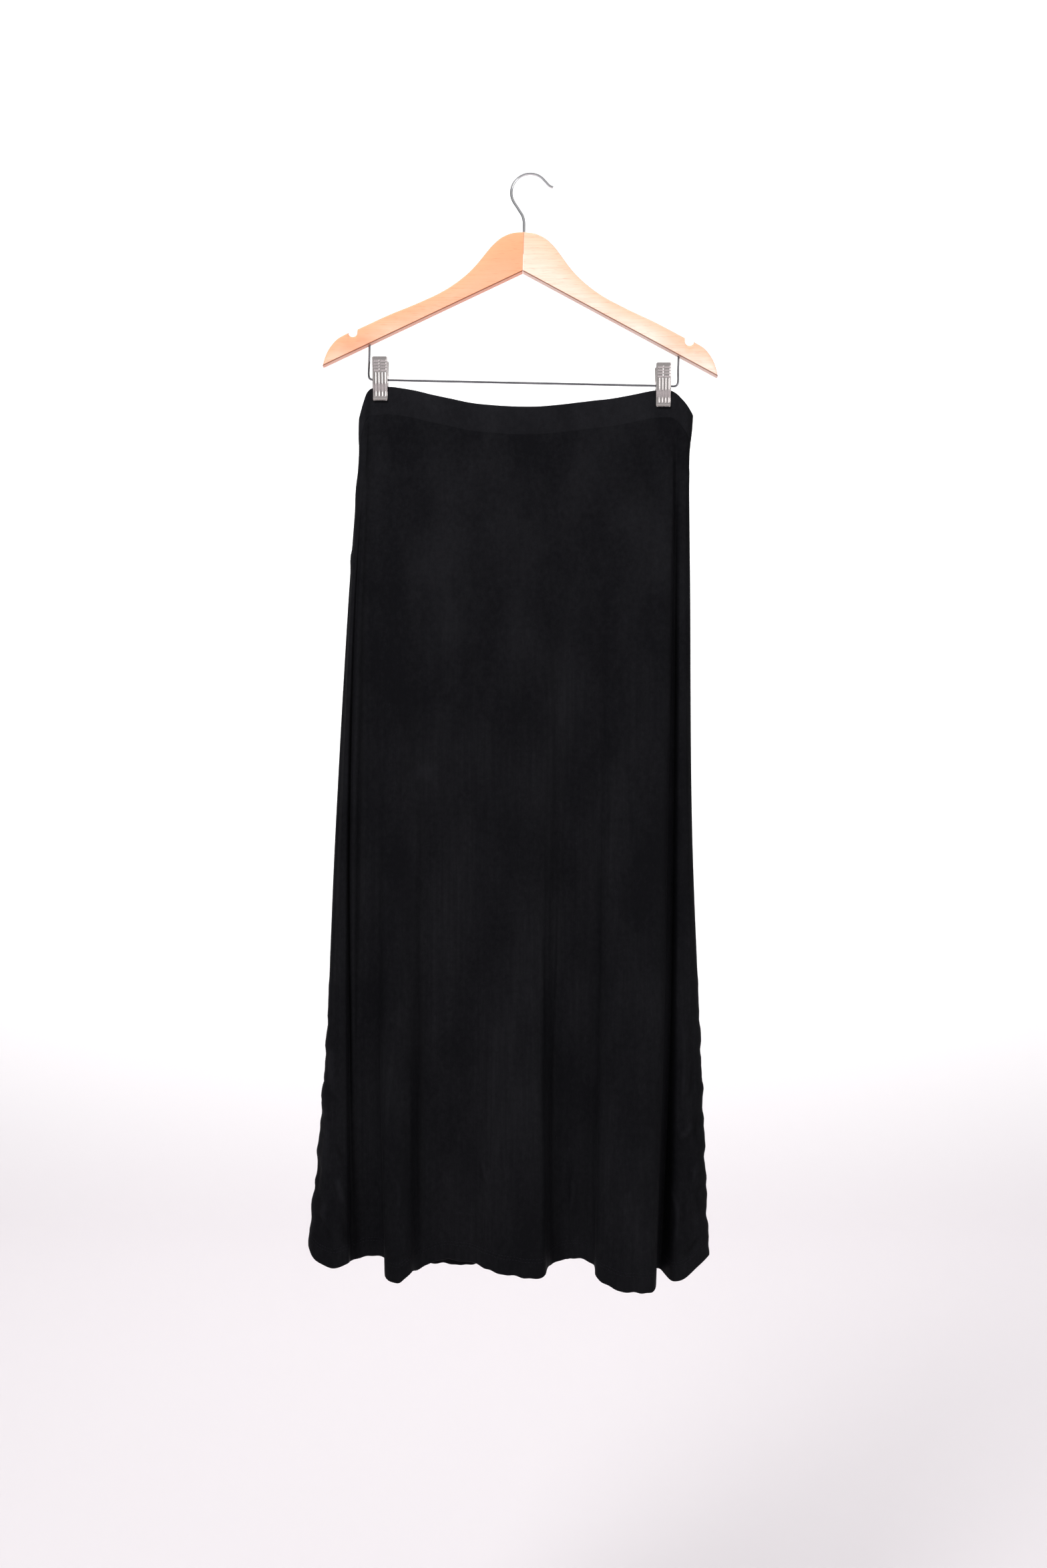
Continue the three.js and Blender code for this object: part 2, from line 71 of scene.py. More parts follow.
# Folds of the front, from the left edge to the right edge, on the cloth's outer face. Columns:
# name; top x, y, z; hip x, y; thigh x, y; knee x, y; calf x, y; hem x, y, z
FRONT_FOLDS = [
    ("left edge", -194, 0, -275, -194, 0, -206, 2, -221, 4, -233, 4, -251, 4, -1208),
    ("left face", -192, -4.5, -269, -192.5, -5, -203.5, -4, -216, -6, -225, -9, -240, -12, -1221),
    ("left crown", -188.5, -6.5, -258, -190, -7, -201, -8, -211, -11, -214.5, -15, -222, -20, -1225),
    ("left lip", -185, -6, -249, -187.5, -7.5, -198.5, -8, -206.5, -9, -206.5, -12, -205, -17, -1222),
    ("left tuck", -182, -4.2, -244, -185, -7, -196.5, -5, -205, -1, -205, 2, -202.5, 6, -1226),
    ("roll", -178.5, -2.3, -241, -183, -5, -192, -10, -199, -11, -200, 0, -197, 8, -1223),
    ("roll valley", -174, -2.3, -240.5, -179, -3, -185.5, -6, -190.5, -1, -194, 3, -188, 6, -1220),
    ("flank", -168, -2.3, -240, -172, -2.5, -175, -8, -179.5, -5, -182, -2, -175.5, 0, -1217),
    ("fold 2 tuck", -161.5, -2.3, -239.5, -164, -3, -166, -10, -170, -9, -170, -9, -163.5, -10, -1220),
    ("fold 2 edge", -154, -3, -240, -157, -4, -158, -12, -161.5, -13, -165, -20, -161.5, -28, -1234),
    ("fold 2 top", -143.5, -5, -242, -146.5, -6, -146.5, -13, -149.5, -16, -151, -27, -147, -40, -1237),
    ("fold 2 lip", -130, -6, -244.5, -133, -8, -134, -13, -135.5, -15, -137, -23, -135.5, -33, -1231),
    ("valley 2", -112.5, -7, -249, -115.5, -9, -116, -12, -117.5, -10, -121, -9, -123.5, -10, -1228),
    ("plain left", -90, -8, -254, -92, -10, -93, -12, -95, -11, -98, -9, -101, -7, -1221),
    ("plain right", -67, -9, -259, -68, -11, -69, -13, -69.5, -12, -73.5, -11, -72.5, -10, -1221),
    ("fold 3 rise", -43, -9, -261.5, -44, -11, -44, -14, -46.5, -15, -49.5, -20, -47.5, -27, -1226),
    ("fold 3 crown", -17, -9, -263, -19, -12, -19, -15, -20, -18, -21.5, -28, -20, -39, -1230),
    ("fold 3 lip", 8, -9, -263, 8, -12, 9, -14, 10.5, -16, 10.5, -25, 12.5, -36, -1232),
    ("fold 3 tuck", 21.5, -9, -262, 22.5, -11, 23, -12, 22, -12, 18, -13, 19, -18, -1227),
    ("valley 3", 35, -8, -260.5, 36.5, -11, 38, -11, 33, -6, 27, -3, 26.5, -3, -1224),
    ("recess", 56, -8, -258, 57.5, -10, 58, -13, 55.5, -11, 51, -9, 50, -7, -1219),
    ("fold 4 tuck", 75.5, -7, -255.5, 77, -10, 77.5, -14, 76, -12, 70.5, -12, 70, -15, -1223),
    ("fold 4 rise", 88, -6, -254, 89, -9, 89, -16, 85.5, -18, 78, -24, 72, -34, -1233),
    ("fold 4 crown", 112.5, -5, -249.5, 112.5, -8, 112, -18, 110, -22, 104, -36, 95, -52, -1241),
    ("fold 4 face", 137, -2.3, -244, 137.5, -4.5, 135, -18, 131.5, -24, 126, -38, 118, -56, -1244),
    ("fold 4 edge", 148, -2.3, -243, 158, -7, 156, -16, 150.5, -22, 144, -32, 135, -48, -1243),
    ("right tuck", 157, -2.3, -243.5, 161, -5, 159, -6, 155, -6, 149, -10, 139, -18, -1231),
    ("right valley", 162, -3, -246, 164, -3, 162.5, -1, 160, 2, 155.5, 5, 146, 8, -1234),
    ("right crown", 168, -5.5, -252, 168, -5, 167.5, -6, 166, -6, 164, -8, 159.5, -12, -1243),
    ("right face", 176, -6, -261, 174.5, -5.5, 174, -5, 175, -6, 180, -8, 179, -11, -1236),
    ("right edge", 183, 0, -271, 179, 0, 180, 2, 182.5, 4, 193, 4, 201, 4, -1218),
]

# Waves of the back, from the right edge to the left edge, in the same columns
BACK_FOLDS = [
    ("back right edge", 180.5, 5, -267, 178, 5.5, 179, 9, 181, 13, 191, 14, 199, 15, -1220),
    ("back right turn", 173, 6.5, -257, 171, 8, 171, 13, 171, 17, 181, 20, 187, 23, -1225),
    ("back right", 158, 2.3, -244, 158, 5, 158, 12, 156, 18, 160, 24, 162, 30, -1230),
    ("back valley 1", 140, 2.3, -243.5, 136, 5, 132, 11, 128, 14, 126, 15, 122, 15, -1226),
    ("back wave 1", 100, 6, -251, 98, 9, 94, 14, 90, 19, 86, 25, 80, 31, -1226),
    ("back valley 2", 56, 8, -258, 56, 10, 52, 12, 48, 14, 44, 15, 38, 15, -1224),
    ("back wave 2", 10, 9, -263, 10, 12, 8, 15, 6, 19, 2, 24, 0, 29, -1230),
    ("back valley 3", -40, 9, -261, -40, 11, -42, 13, -44, 14, -46, 15, -48, 15, -1230),
    ("back wave 3", -90, 8, -254, -90, 10, -92, 14, -94, 19, -96, 25, -96, 30, -1235),
    ("back valley 4", -130, 5.5, -245, -130, 8, -134, 11, -138, 14, -142, 15, -146, 15, -1224),
    ("back left", -163, 2.3, -240, -166, 4, -172, 11, -178, 17, -184, 23, -190, 28, -1218),
    ("back left pinch", -177.5, 2.3, -241, -177, 6, -184, 13, -194, 18, -202, 22, -213, 27, -1214),
    ("back left turn", -185, 5.8, -249, -186, 8, -197, 13, -210, 17, -220, 19, -235, 22, -1211),
    ("back left edge", -191.5, 5, -267, -192, 5.5, -203, 9, -218, 13, -229, 14, -247, 15, -1208),
]
LEFT_SEAM = -0.5
RIGHT_SEAM = len(FRONT_FOLDS) - 0.5
ALL_FOLDS = len(FRONT_FOLDS) + len(BACK_FOLDS)
SIDE_PIECES = (4.5, 26.5)  # fold numbers where the front's left piece ends and its right piece starts
SIDE_DENSITY = 1.9  # how much closer the columns lie on them
SPACING_LEVELS = [0.3, 0.6, 0.8, 1.0]  # shares of the way down where the columns are spaced evenly
HEM_CROWDING = 1.35  # over 1, the rows lie closer together towards the hem

# Columns and rows of points
FRONT_GRID = (252, 190)
BACK_GRID = (200, 180)
BAND_GRID = (340, 16)

# Soft creases of the front. Columns: name; half width; height; x, z of each point from the top down
FRONT_CREASES = [
    ("thin crease by fold 2", 1.9, -1.2, -169, -600, -170, -720, -170.5, -800, -172, -898),
    ("short trough on fold 4", 1.8, -1, 108, -768, 107.5, -830, 105.5, -892),
    ("step left of fold 2", 5, 1.2, -130, -660, -130.5, -800, -131, -970),
    ("valley 2", 5, -2.2, -118, -860, -120.4, -960, -122, -1040, -122, -1215),
    ("valley 3", 2.6, -1.5, 39.5, -540, 35.5, -681, 33.5, -839, 29.8, -933, 24.5, -1079, 23.5, -1215),
    ("edge of fold 3", 4, 1.1, 30, -690, 26.5, -839, 23.5, -933, 17, -1079, 14.5, -1222),
    ("first ridge of fold 4", 2.6, 0.9, 82, -620, 80.5, -780, 79, -930, 75.4, -1130),
    ("second ridge of fold 4", 2.4, 0.7, 89.6, -625, 88.5, -780, 87.3, -935),
    ("ridge by the right clip", 2.2, 0.45, 161.5, -252, 165, -268, 170, -296),
]

# Soft creases of the back, in the same columns
BACK_CREASES = [
    ("back ridge 1", 3.5, 1.1, 118, -700, 116, -860, 112, -1080),
    ("back ridge 2", 3, 0.9, 66, -560, 62, -760, 58, -940),
    ("back trough 1", 5, -1.6, 24, -640, 22, -900, 20, -1190),
    ("back ridge 3", 3, 1, -18, -820, -20, -980, -22, -1200),
    ("back trough 2", 5, -1.3, -70, -600, -72, -800, -74, -1010),
    ("back ridge 4", 3, 0.9, -118, -520, -122, -700, -126, -900),
    ("back ridge 5", 3.5, 1.2, -160, -760, -164, -960, -168, -1180),
]

# Small crinkles of the cloth, most of them near the hem. Columns: half width; height; x, z of each point
FRONT_CRINKLES = [
    (3.1, 1.9, -231, -1000, -233, -1037, -229, -1075, -233, -1110, -231, -1148),
    (3.6, 1.7, -222, -975, -224, -1003, -221, -1040),
    (3.4, -1.9, -237, -1108, -240, -1130, -243, -1152),
    (3.1, 1.9, -228, -1148, -233, -1168, -229, -1188),
    (3.4, -1.7, -222, -1085, -214, -1100, -208, -1116),
    (3.6, 1.9, -219, -1120, -213, -1142, -208, -1160),
    (3.4, -1.7, -240, -1168, -231, -1180, -222, -1202),
    (3.4, -1.9, -212, -1170, -207, -1188, -209, -1205),
    (3.1, 1.9, -246, -1150, -244, -1172, -247, -1196),
    (2.3, 1.7, 170.5, -948, 172, -1000, 169, -1052),
    (2.6, -1.3, 178, -940, 180, -975, 177, -1010),
    (2.3, -1.7, 182, -993, 181, -1020, 178, -1045),
    (2.9, 1.9, 163, -1084, 171, -1080, 177, -1074, 182, -1062),
    (2.6, -2.3, 177, -1110, 178.5, -1138, 169, -1172, 165, -1195),
    (2.9, 2.1, 192, -1104, 182, -1128, 175, -1152, 173, -1180),
    (2.9, 1.9, 156, -1132, 165, -1172, 161, -1206),
    (2.9, -1.9, 168, -1218, 180, -1208, 192, -1190),
    (2.9, -1.7, 190, -1050, 186, -1075, 191, -1098),
    (2.9, -1.7, 193, -1130, 188, -1152, 194, -1172),
    (2.1, 1.5, 46, -1126, 47.6, -1145, 42.5, -1172),
    (2.1, 1.1, 43.5, -1090, 41, -1115),
    (2.6, -1.3, -99, -1117, -103, -1134),
    (2.6, 1.1, -58, -1098, -52, -1118, -46, -1138),
    (2.3, 0.8, -48, -1132, -34, -1126),
    (2.3, 0.9, -92, -1164, -72, -1168, -58, -1162),
    (2.1, -0.8, -84, -1146, -66, -1150),
    (2.3, -0.9, -38, -1150, -22, -1158, -12, -1152),
    (2.6, -1.1, 8, -1136, 4, -1160),
    (2.6, 0.9, 100, -1150, 108, -1168),
    (2.6, -0.9, 84, -1120, 88, -1142, 84, -1160),
    (2.6, 1.1, -150, -1120, -146, -1142, -150, -1166),
    (2.6, -1.1, -176, -1130, -172, -1150),
    (2.6, 1.1, -200, -330, -197.5, -352, -201, -380),
    (2.6, 1.1, -204, -420, -201, -446),
    (2.6, 0.8, 177, -330, 175, -352),
]
BACK_CRINKLES = [
    (3.1, 1.9, 185, -1010, 187, -1046, 184, -1084),
    (3.1, -1.9, 174, -1080, 180, -1100, 187, -1122),
    (3.1, 1.9, 190, -1140, 182, -1164, 186, -1192),
    (3.1, -1.7, 164, -1150, 168, -1176, 163, -1202),
    (2.6, 1.1, 112, -1146, 98, -1152, 86, -1146),
    (2.6, 1.3, 52, -1110, 48, -1138, 52, -1166),
    (2.6, -1.1, 10, -1150, -6, -1156, -16, -1150),
    (2.6, 1.1, -40, -1084, -44, -1112),
    (2.6, 1.3, -92, -1120, -98, -1146, -94, -1172),
    (2.6, -1.1, -134, -1160, -122, -1166, -110, -1162),
    (3.1, 1.9, -186, -1060, -190, -1092, -186, -1124),
    (3.1, -1.9, -208, -1090, -202, -1116, -210, -1146),
    (3.1, 1.9, -222, -1040, -225, -1078, -221, -1110),
    (3.1, -1.9, -232, -1130, -224, -1152, -230, -1182),
]

CREASE_FADE = 14  # creases fade out this near to a side seam, and crinkles nearer
CRINKLE_FADE = 5
SEAM_DIP, SEAM_DIP_WIDTH = 0.25, 2.5  # how the cloth sinks into a side seam
# Painted highlight and shade on the jersey: a crease ridge this high is painted fully pale, and a trough
# this deep fully dark.
CREASE_SHADING_HEIGHT = 2.4  # a crease this high is fully pale, and one this deep is fully dark
RUB_PATCH = (-118, -672)
RUB_PATCH_SIZE = (15, 9)
RUB_PATCH_SHARE = 0.55

# Small waves of the hem's lower edge and of the sides. Columns: wave length, height, phase
HEM_WAVES = [(41, 0.75, 0.4), (23, 0.5, 2.1), (14.5, 0.35, 4.4)]
HEM_WAVE_REACH = 45
SIDE_WAVES = [(57, 0.7, 0.6), (31, 0.55, 2.4), (17, 0.3, 4.1)]
SIDE_WAVE_TOP, SIDE_WAVE_FULL = -860, -1010
SIDE_WAVE_REACH = 30

# Fine vertical ripples of both panels. Columns: wave length, height, drift, phase
RIPPLES = [(47, 0.45, 60, 0.3), (31, 0.36, 95, 1.9), (19, 0.26, 70, 4.1), (12.5, 0.17, 50, 2.6),
           (8.6, 0.1, 66, 5.2)]
RIPPLE_TOP = -400
RIPPLE_FULL = -640

# The casing
BAND_CLEARANCE = 0.03  # between the casing and the panels
BAND_PUFF = 0.45
BAND_EDGE_DIP, BAND_EDGE_WIDTH = 0.15, 2.2
CLIP_PRESS_WIDTH = 14  # the casing is pressed flat this far from a clip's middle

# The hem: how far it stands out and how far its stitches pull it in, then the stitches' sizes
HEM_STEP = 0.35
STITCH_PULL, STITCH_PULL_WIDTH = 0.22, 1.1
STITCH_ROWS = (16.5, 20)
STITCH_PITCH = 3.6
STITCH_LENGTH = 2.7
STITCH_WIDTH = 0.5

# A stitch from end to end. Columns: share of its length, share of its width, height over the cloth
STITCH_RISES = ((0, 0.25, -0.15), (0.2, 1, 0.12), (0.8, 1, 0.12), (1, 0.25, -0.15))


def linear(red, green, blue):
    """A colour given as 0 to 255 on screen, as the shader takes it."""
    def one(value):
        share = value / 255
        return share / 12.92 if share <= 0.04045 else ((share + 0.055) / 1.055) ** 2.4
    return (one(red), one(green), one(blue), 1)


# Meshes

def new_object(name, points, faces, material, smooth=True):
    """A mesh object from points in millimetres."""
    mesh = bpy.data.meshes.new(name)
    mesh.from_pydata((np.asarray(points, float) * MM).tolist(), [], [list(map(int, f)) for f in faces])
    mesh.polygons.foreach_set("use_smooth", [smooth] * len(mesh.polygons))
    mesh.materials.append(material)
    made = bpy.data.objects.new(name, mesh)
    bpy.context.scene.collection.objects.link(made)
    return made


def set_values(made, name, values):
    """Keeps a number for each vertex, for the material."""
    attribute = made.data.attributes.new(name, "FLOAT", "POINT")
    attribute.data.foreach_set("value", np.asarray(values, np.float32).ravel())


def capped_faces(rings, sides, base=0):
    """Quads between rings of points that each close on themselves, and a flat cap at either end."""
    index = base + np.arange(rings * sides).reshape(rings, sides)
    low, high = index[:-1], index[1:]
    quads = np.stack([low, np.roll(low, -1, 1), np.roll(high, -1, 1), high], -1)
    return [*quads.reshape(-1, 4).tolist(), index[0, ::-1].tolist(), index[-1].tolist()]


def ring_points(centre, first, second, sides):
    """Points round a centre, where first and second reach from it to the ring, square to each other."""
    angles = [2 * math.pi * k / sides for k in range(sides)]
    return [centre + math.cos(a) * first + math.sin(a) * second for a in angles]


# Curves

def span(p0, p1, p2, p3, share):
    """A centripetal Catmull-Rom span from p1 to p2."""
    def apart(a, b):
        return np.maximum(np.sum((b - a) ** 2, -1, keepdims=True) ** 0.25, 1e-4)
    d0, d1, d2 = apart(p0, p1), apart(p1, p2), apart(p2, p3)
    start = ((p1 - p0) / d0 - (p2 - p0) / (d0 + d1) + (p2 - p1) / d1) * d1
    end = ((p2 - p1) / d1 - (p3 - p1) / (d1 + d2) + (p3 - p2) / d2) * d1
    square, cube = share ** 2, share ** 3
    return (p1 + start * share + (3 * (p2 - p1) - 2 * start - end) * square
            + (2 * (p1 - p2) + start + end) * cube)


def open_curve(points, places):
    """Points of an open curve. points is (curves, knots, 3), and places are shares of the way."""
    first = 2 * points[:, :1] - points[:, 1:2]
    last = 2 * points[:, -1:] - points[:, -2:-1]
    knots = np.concatenate([first, points, last], 1)
    spans = points.shape[1] - 1
    place = np.clip(np.asarray(places) * spans, 0, spans - 1e-9)
    base = place.astype(int)
    return span(*(knots[:, base + k] for k in range(4)), (place - base)[None, :, None])


def smooth_line(points, count):
    """An open smooth line through points in two or three dimensions."""
    return open_curve(np.asarray(points, float)[None], np.linspace(0, 1, count))[0]


def fold_points(row):
    """The seven points of a fold's line, from the top edge to the hem."""
    top, hem = row[1:4], row[12:]
    grip_x = top[0] + (row[4] - top[0]) * GRIP_DEPTH / (top[2] - HIP)
    grip = (grip_x, top[1], top[2] - GRIP_DEPTH)
    between = [(*row[4 + 2 * k:6 + 2 * k], z) for k, z in enumerate((HIP, THIGH, KNEE, CALF))]
    return [top, grip, *between, hem]


FOLD_POINTS = np.array([fold_points(row) for row in FRONT_FOLDS + BACK_FOLDS], float)


def on_cloth(folds, downs):
    """The outer face at fold numbers round the skirt and shares of the way down, (downs, folds, 3)."""
    lines = open_curve(FOLD_POINTS, downs).transpose(1, 0, 2)
    folds = np.asarray(folds)
    base = np.floor(folds).astype(int)
    return span(*(lines[:, (base + k) % ALL_FOLDS] for k in (-1, 0, 1, 2)), (folds - base)[None, :, None])


def even_folds(first, last, count):
    """Fold numbers spaced evenly over the cloth, but closer on the front's crinkled side pieces."""
    fine = np.linspace(first, last, 2400)
    steps = np.linalg.norm(np.diff(on_cloth(fine, SPACING_LEVELS), axis=1), axis=2).mean(0)
    steps *= np.where((fine[1:] < SIDE_PIECES[0]) | (fine[1:] > SIDE_PIECES[1]), SIDE_DENSITY, 1)
    arc = np.concatenate([[0], np.cumsum(steps)])
    return np.interp(np.linspace(0, arc[-1], count), arc, fine)


def panel_starts(folds):
    """Where a panel starts under the casing, square to the casing's slanting edge."""
    along = on_cloth(folds + 0.25, [0])[0] - on_cloth(folds - 0.25, [0])[0]
    slope = along[:, 2] / np.hypot(along[:, 0], along[:, 1])
    return (BAND_DEPTH + SEAM_GAP * np.hypot(1, slope)) / GRIP_DEPTH / LEVEL_SPANS


def row_shares(folds, start, rows):
    """Shares of the way from start to the hem for each row."""
    fine = np.linspace(0, 1, 800)
    line = on_cloth(folds[::10], start + fine * (1 - start))
    arc = np.concatenate([[0], np.cumsum(np.linalg.norm(np.diff(line, axis=0), axis=2).mean(1))])
    wanted = 1 - (1 - np.linspace(0, 1, rows)) ** HEM_CROWDING
    return np.interp(wanted, arc / arc[-1], fine)


def cloth_grid(folds, starts, ends, shares):
    """The outer face as a grid. Its columns run from starts to ends, with a row at each share."""
    dense_downs = np.linspace(0, 1, 701)
    dense = on_cloth(folds, dense_downs)
    downs = starts + shares[:, None] * (ends - starts)
    grid = np.empty((len(shares), len(folds), 3))
    for column in range(len(folds)):
        for axis in range(3):
            grid[:, column, axis] = np.interp(downs[:, column], dense_downs, dense[:, column, axis])
    return grid


def out_of(grid, ring):
    """The directions out of a grid's face."""
    if ring:
        along = np.roll(grid, -1, 1) - np.roll(grid, 1, 1)
    else:
        along = np.gradient(grid, axis=1)
    out = np.cross(np.gradient(grid, axis=0), along)
    return out / np.linalg.norm(out, axis=2, keepdims=True)


def ramp(value, low, high):
    """0 at low, 1 at high, and smooth between them."""
    share = np.clip((value - low) / (high - low), 0, 1)
    return share * share * (3 - 2 * share)


# Cloth

def crease_relief(grid, creases):
    """How far soft ridges and troughs lift the cloth."""
    x, z = grid[..., 0], grid[..., 2]
    lift = np.zeros(x.shape)
    for _, half_width, height, *line in creases:
        line = np.reshape(line, (-1, 2)).astype(float)[::-1]
        low, high = line[0, 1], line[-1, 1]
        centre = np.interp(z, line[:, 1], line[:, 0])
        fade = 0.3 * (high - low)
        ends = ramp(z, low, low + fade) * ramp(-z, -high, -high + fade)
        lift += height * ends * np.exp(-(((x - centre) / half_width) ** 2))
    return lift


def crinkle_relief(grid, crinkles):
    """How far short crinkles, which may run any way, lift the cloth."""
    place = grid[..., [0, 2]]
    lift = np.zeros(place.shape[:2])
    for half_width, height, *line in crinkles:
        line = smooth_line(np.reshape(line, (-1, 2)), 24)
        reach = 4 * half_width
        low, high = line.min(0) - reach, line.max(0) + reach
        near = np.all((place > low) & (place < high), axis=2)
        apart = np.linalg.norm(place[near][:, None] - line[None], axis=2)
        nearest = apart.argmin(1) / (len(line) - 1)
        swell = ramp(nearest, 0, 0.3) * ramp(-nearest, -1, -0.7)
        lift[near] += height * swell * np.exp(-((apart.min(1) / half_width) ** 2))
    return lift


def wave_hem(grid, height, arc):
    """Moves the hem's edge a little up and down, less and less above it."""
    wave = sum(size * np.sin(2 * np.pi * arc / length + phase) for length, size, phase in HEM_WAVES)
    grid[..., 2] += wave * ramp(-height, -HEM_WAVE_REACH, 0)


def wave_sides(grid, from_side):
    """Moves the skirt's sides a little in and out below the knee, alike on both panels."""
    z, side = grid[..., 2], np.sign(grid[..., 0])
    wave = sum(size * np.sin(2 * np.pi * z / length + phase + side) for length, size, phase in SIDE_WAVES)
    reach = ramp(-z, -SIDE_WAVE_TOP, -SIDE_WAVE_FULL) * ramp(-from_side, -SIDE_WAVE_REACH, 0)
    grid[..., 0] += wave * reach


def ripple_relief(grid, arc):
    """Fine vertical ripples that start below the hips."""
    z = grid[..., 2]
    lift = np.zeros(z.shape)
    for length, height, drift, phase in RIPPLES:
        bend = np.sin(z / (3 * drift) + phase) + 0.5 * np.sin(z / drift + 2 * phase)
        patch = 0.6 + 0.4 * np.sin(arc / 83 + z / 260 + 3 * phase)
        lift += height * patch * np.sin(2 * np.pi * arc / length + bend + phase)
    return lift * ramp(-z, -RIPPLE_TOP, -RIPPLE_FULL)


def shell(outer, inner, ring, rim=1):
    """Points, in rows round the section, and faces of a closed thin shell between two grids.

    rim is the number of rows that round off the upper and lower edges. A ring joins its last column
    to its first, and a shell that is no ring gets its sides closed.
    """
    def edge(a, b, way):
        way = way / np.linalg.norm(way, axis=1, keepdims=True)
        shares = np.arange(1, rim + 1) / (rim + 1)
        half = np.linalg.norm(a - b, axis=1, keepdims=True) / 2
        return [a + (b - a) * (1 - np.cos(np.pi * s)) / 2 + way * half * np.sin(np.pi * s) for s in shares]

    lower = edge(outer[-1], inner[-1], outer[-1] - outer[-2])
    upper = edge(inner[0], outer[0], outer[0] - outer[1])
    loop = np.array([*outer, *lower, *inner[::-1], *upper])
    count, width = loop.shape[:2]
    index = np.arange(count * width).reshape(count, width)
    below = np.roll(index, -1, 0)
    if ring:
        quads = np.stack([index, below, np.roll(below, -1, 1), np.roll(index, -1, 1)], -1)
        return loop, quads.reshape(-1, 4).tolist()
    quads = np.stack([index[:, :-1], below[:, :-1], below[:, 1:], index[:, 1:]], -1)
    height = len(outer)
    ladder = [[row, row + 1, 2 * height + rim - 2 - row, 2 * height + rim - 1 - row]
              for row in range(height - 1)]
    if rim:
        ladder.append(list(range(height - 1, height + rim + 1)))
        ladder.append([row % count for row in range(2 * height + rim - 1, 2 * height + 2 * rim + 1)])
    left = [index[rows[::-1], 0].tolist() for rows in ladder]
    right = [index[rows, -1].tolist() for rows in ladder]
    return loop, quads.reshape(-1, 4).tolist() + left + right


def arc_along(grid):
    """Millimetres along the cloth for each column, as a mean over the height."""
    steps = np.linalg.norm(np.diff(grid, axis=1), axis=2).mean(0)
    return np.concatenate([[0], np.cumsum(steps)])


def above_hem(grid):
    """Millimetres from each point down its column to the hem."""
    steps = np.linalg.norm(np.diff(grid, axis=0), axis=2)
    below = np.cumsum(steps[::-1], axis=0)[::-1]
    return np.concatenate([below, np.zeros((1, grid.shape[1]))])


def panel(name, first, last, size, creases, crinkles, materials):
    """One panel with its creases and its turned-up hem, and its two rows of stitches."""
    columns, rows = size
    folds = even_folds(first, last, columns)
    starts = panel_starts(folds)
    grid = cloth_grid(folds, starts, np.ones(columns), row_shares(folds, starts.mean(), rows))
    for column, inward in ((0, 1), (-1, -2)):
        step = grid[:, inward] - grid[:, column]
        grid[:, column] += step / np.linalg.norm(step, axis=1, keepdims=True) * SEAM_GAP / 2
    arc = np.broadcast_to(arc_along(grid), grid.shape[:2])
    height = above_hem(grid)
    wave_hem(grid, height, arc)
    from_side = np.minimum(arc, arc[:, -1:] - arc)
    wave_sides(grid, from_side)
    out = out_of(grid, False)
    creased = crease_relief(grid, creases) * ramp(from_side, 0, CREASE_FADE)
    crinkled = crinkle_relief(grid, crinkles) * ramp(from_side, 0, CRINKLE_FADE)
    lift = creased + crinkled + ripple_relief(grid, arc) * ramp(from_side, 0, CREASE_FADE)
    lift += hem_relief(height)
    lift -= SEAM_DIP * np.exp(-((from_side / SEAM_DIP_WIDTH) ** 2))
    outer = grid + out * lift[..., None]
    wall = CLOTH_WALL + (HEM_WALL - CLOTH_WALL) * ramp(-height, -HEM_DEPTH - 1, -HEM_DEPTH + 1)
    inner = outer - out * wall[..., None]
    points, faces = shell(outer, inner, False)
    piece = new_object(name, points.reshape(-1, 3), faces, materials["jersey"])
    # Painted highlight and shade: crease ridges are painted paler and troughs darker, and the pale rub
    # patch added in the same value is real wear.
    crease_shading_and_rub = np.zeros(points.shape[:2])
    crease_shading_and_rub[:rows] = (creased / 2 + crinkled) / CREASE_SHADING_HEIGHT + rub_patch(grid)
    set_values(piece, "crease_shading_and_rub", crease_shading_and_rub)
    stitches = hem_stitches(f"{name}_hem_stitches", outer, out, height, materials["thread"])
    return piece, stitches


def rub_patch(grid):
    """A faint pale patch where the front is worn by rubbing."""
    x, z = grid[..., 0] - RUB_PATCH[0], grid[..., 2] - RUB_PATCH[1]
    wide, high = RUB_PATCH_SIZE
    patch = np.exp(-((x / wide) ** 2) - ((z - 0.25 * x) / high) ** 2)
    return RUB_PATCH_SHARE * patch * (grid[..., 1] < 0)


def hem_relief(height):
    """The turned-up hem stands a little proud, and its stitches pull it in."""
    lift = HEM_STEP * ramp(-height, -HEM_DEPTH - 2, -HEM_DEPTH + 4)
    pulled = sum(np.exp(-(((height - row) / STITCH_PULL_WIDTH) ** 2)) for row in STITCH_ROWS)
    return lift - STITCH_PULL * pulled


def hem_stitches(name, outer, out, height, material):
    """Two rows of short stitches that lie on the hem's face, as one mesh."""
    points, faces = [], []
    for row in STITCH_ROWS:
        line, sides = level_line(outer, out, height, row)
        steps = np.linalg.norm(np.diff(line, axis=0), axis=1)
        arc = np.concatenate([[0], np.cumsum(steps)])
        starts = np.arange(STITCH_PITCH, arc[-1] - STITCH_PITCH, STITCH_PITCH)
        for start in starts:
            ends = [start, start + STITCH_LENGTH]
            a, b = (np.array([np.interp(e, arc, line[:, k]) for k in range(3)]) for e in ends)
            side = np.array([np.interp(start, arc, sides[:, k]) for k in range(3)])
            add_stitch(points, faces, a, b, side)
    return new_object(name, points, faces, material)


def level_line(outer, out, height, level):
    """The line over the cloth's face at one height above the hem, and the face's directions there."""
    line, sides = [], []
    for column in range(outer.shape[1]):
        above = height[::-1, column]
        line.append([np.interp(level, above, outer[::-1, column, k]) for k in range(3)])
        sides.append([np.interp(level, above, out[::-1, column, k]) for k in range(3)])
    return np.array(line), np.array(sides)


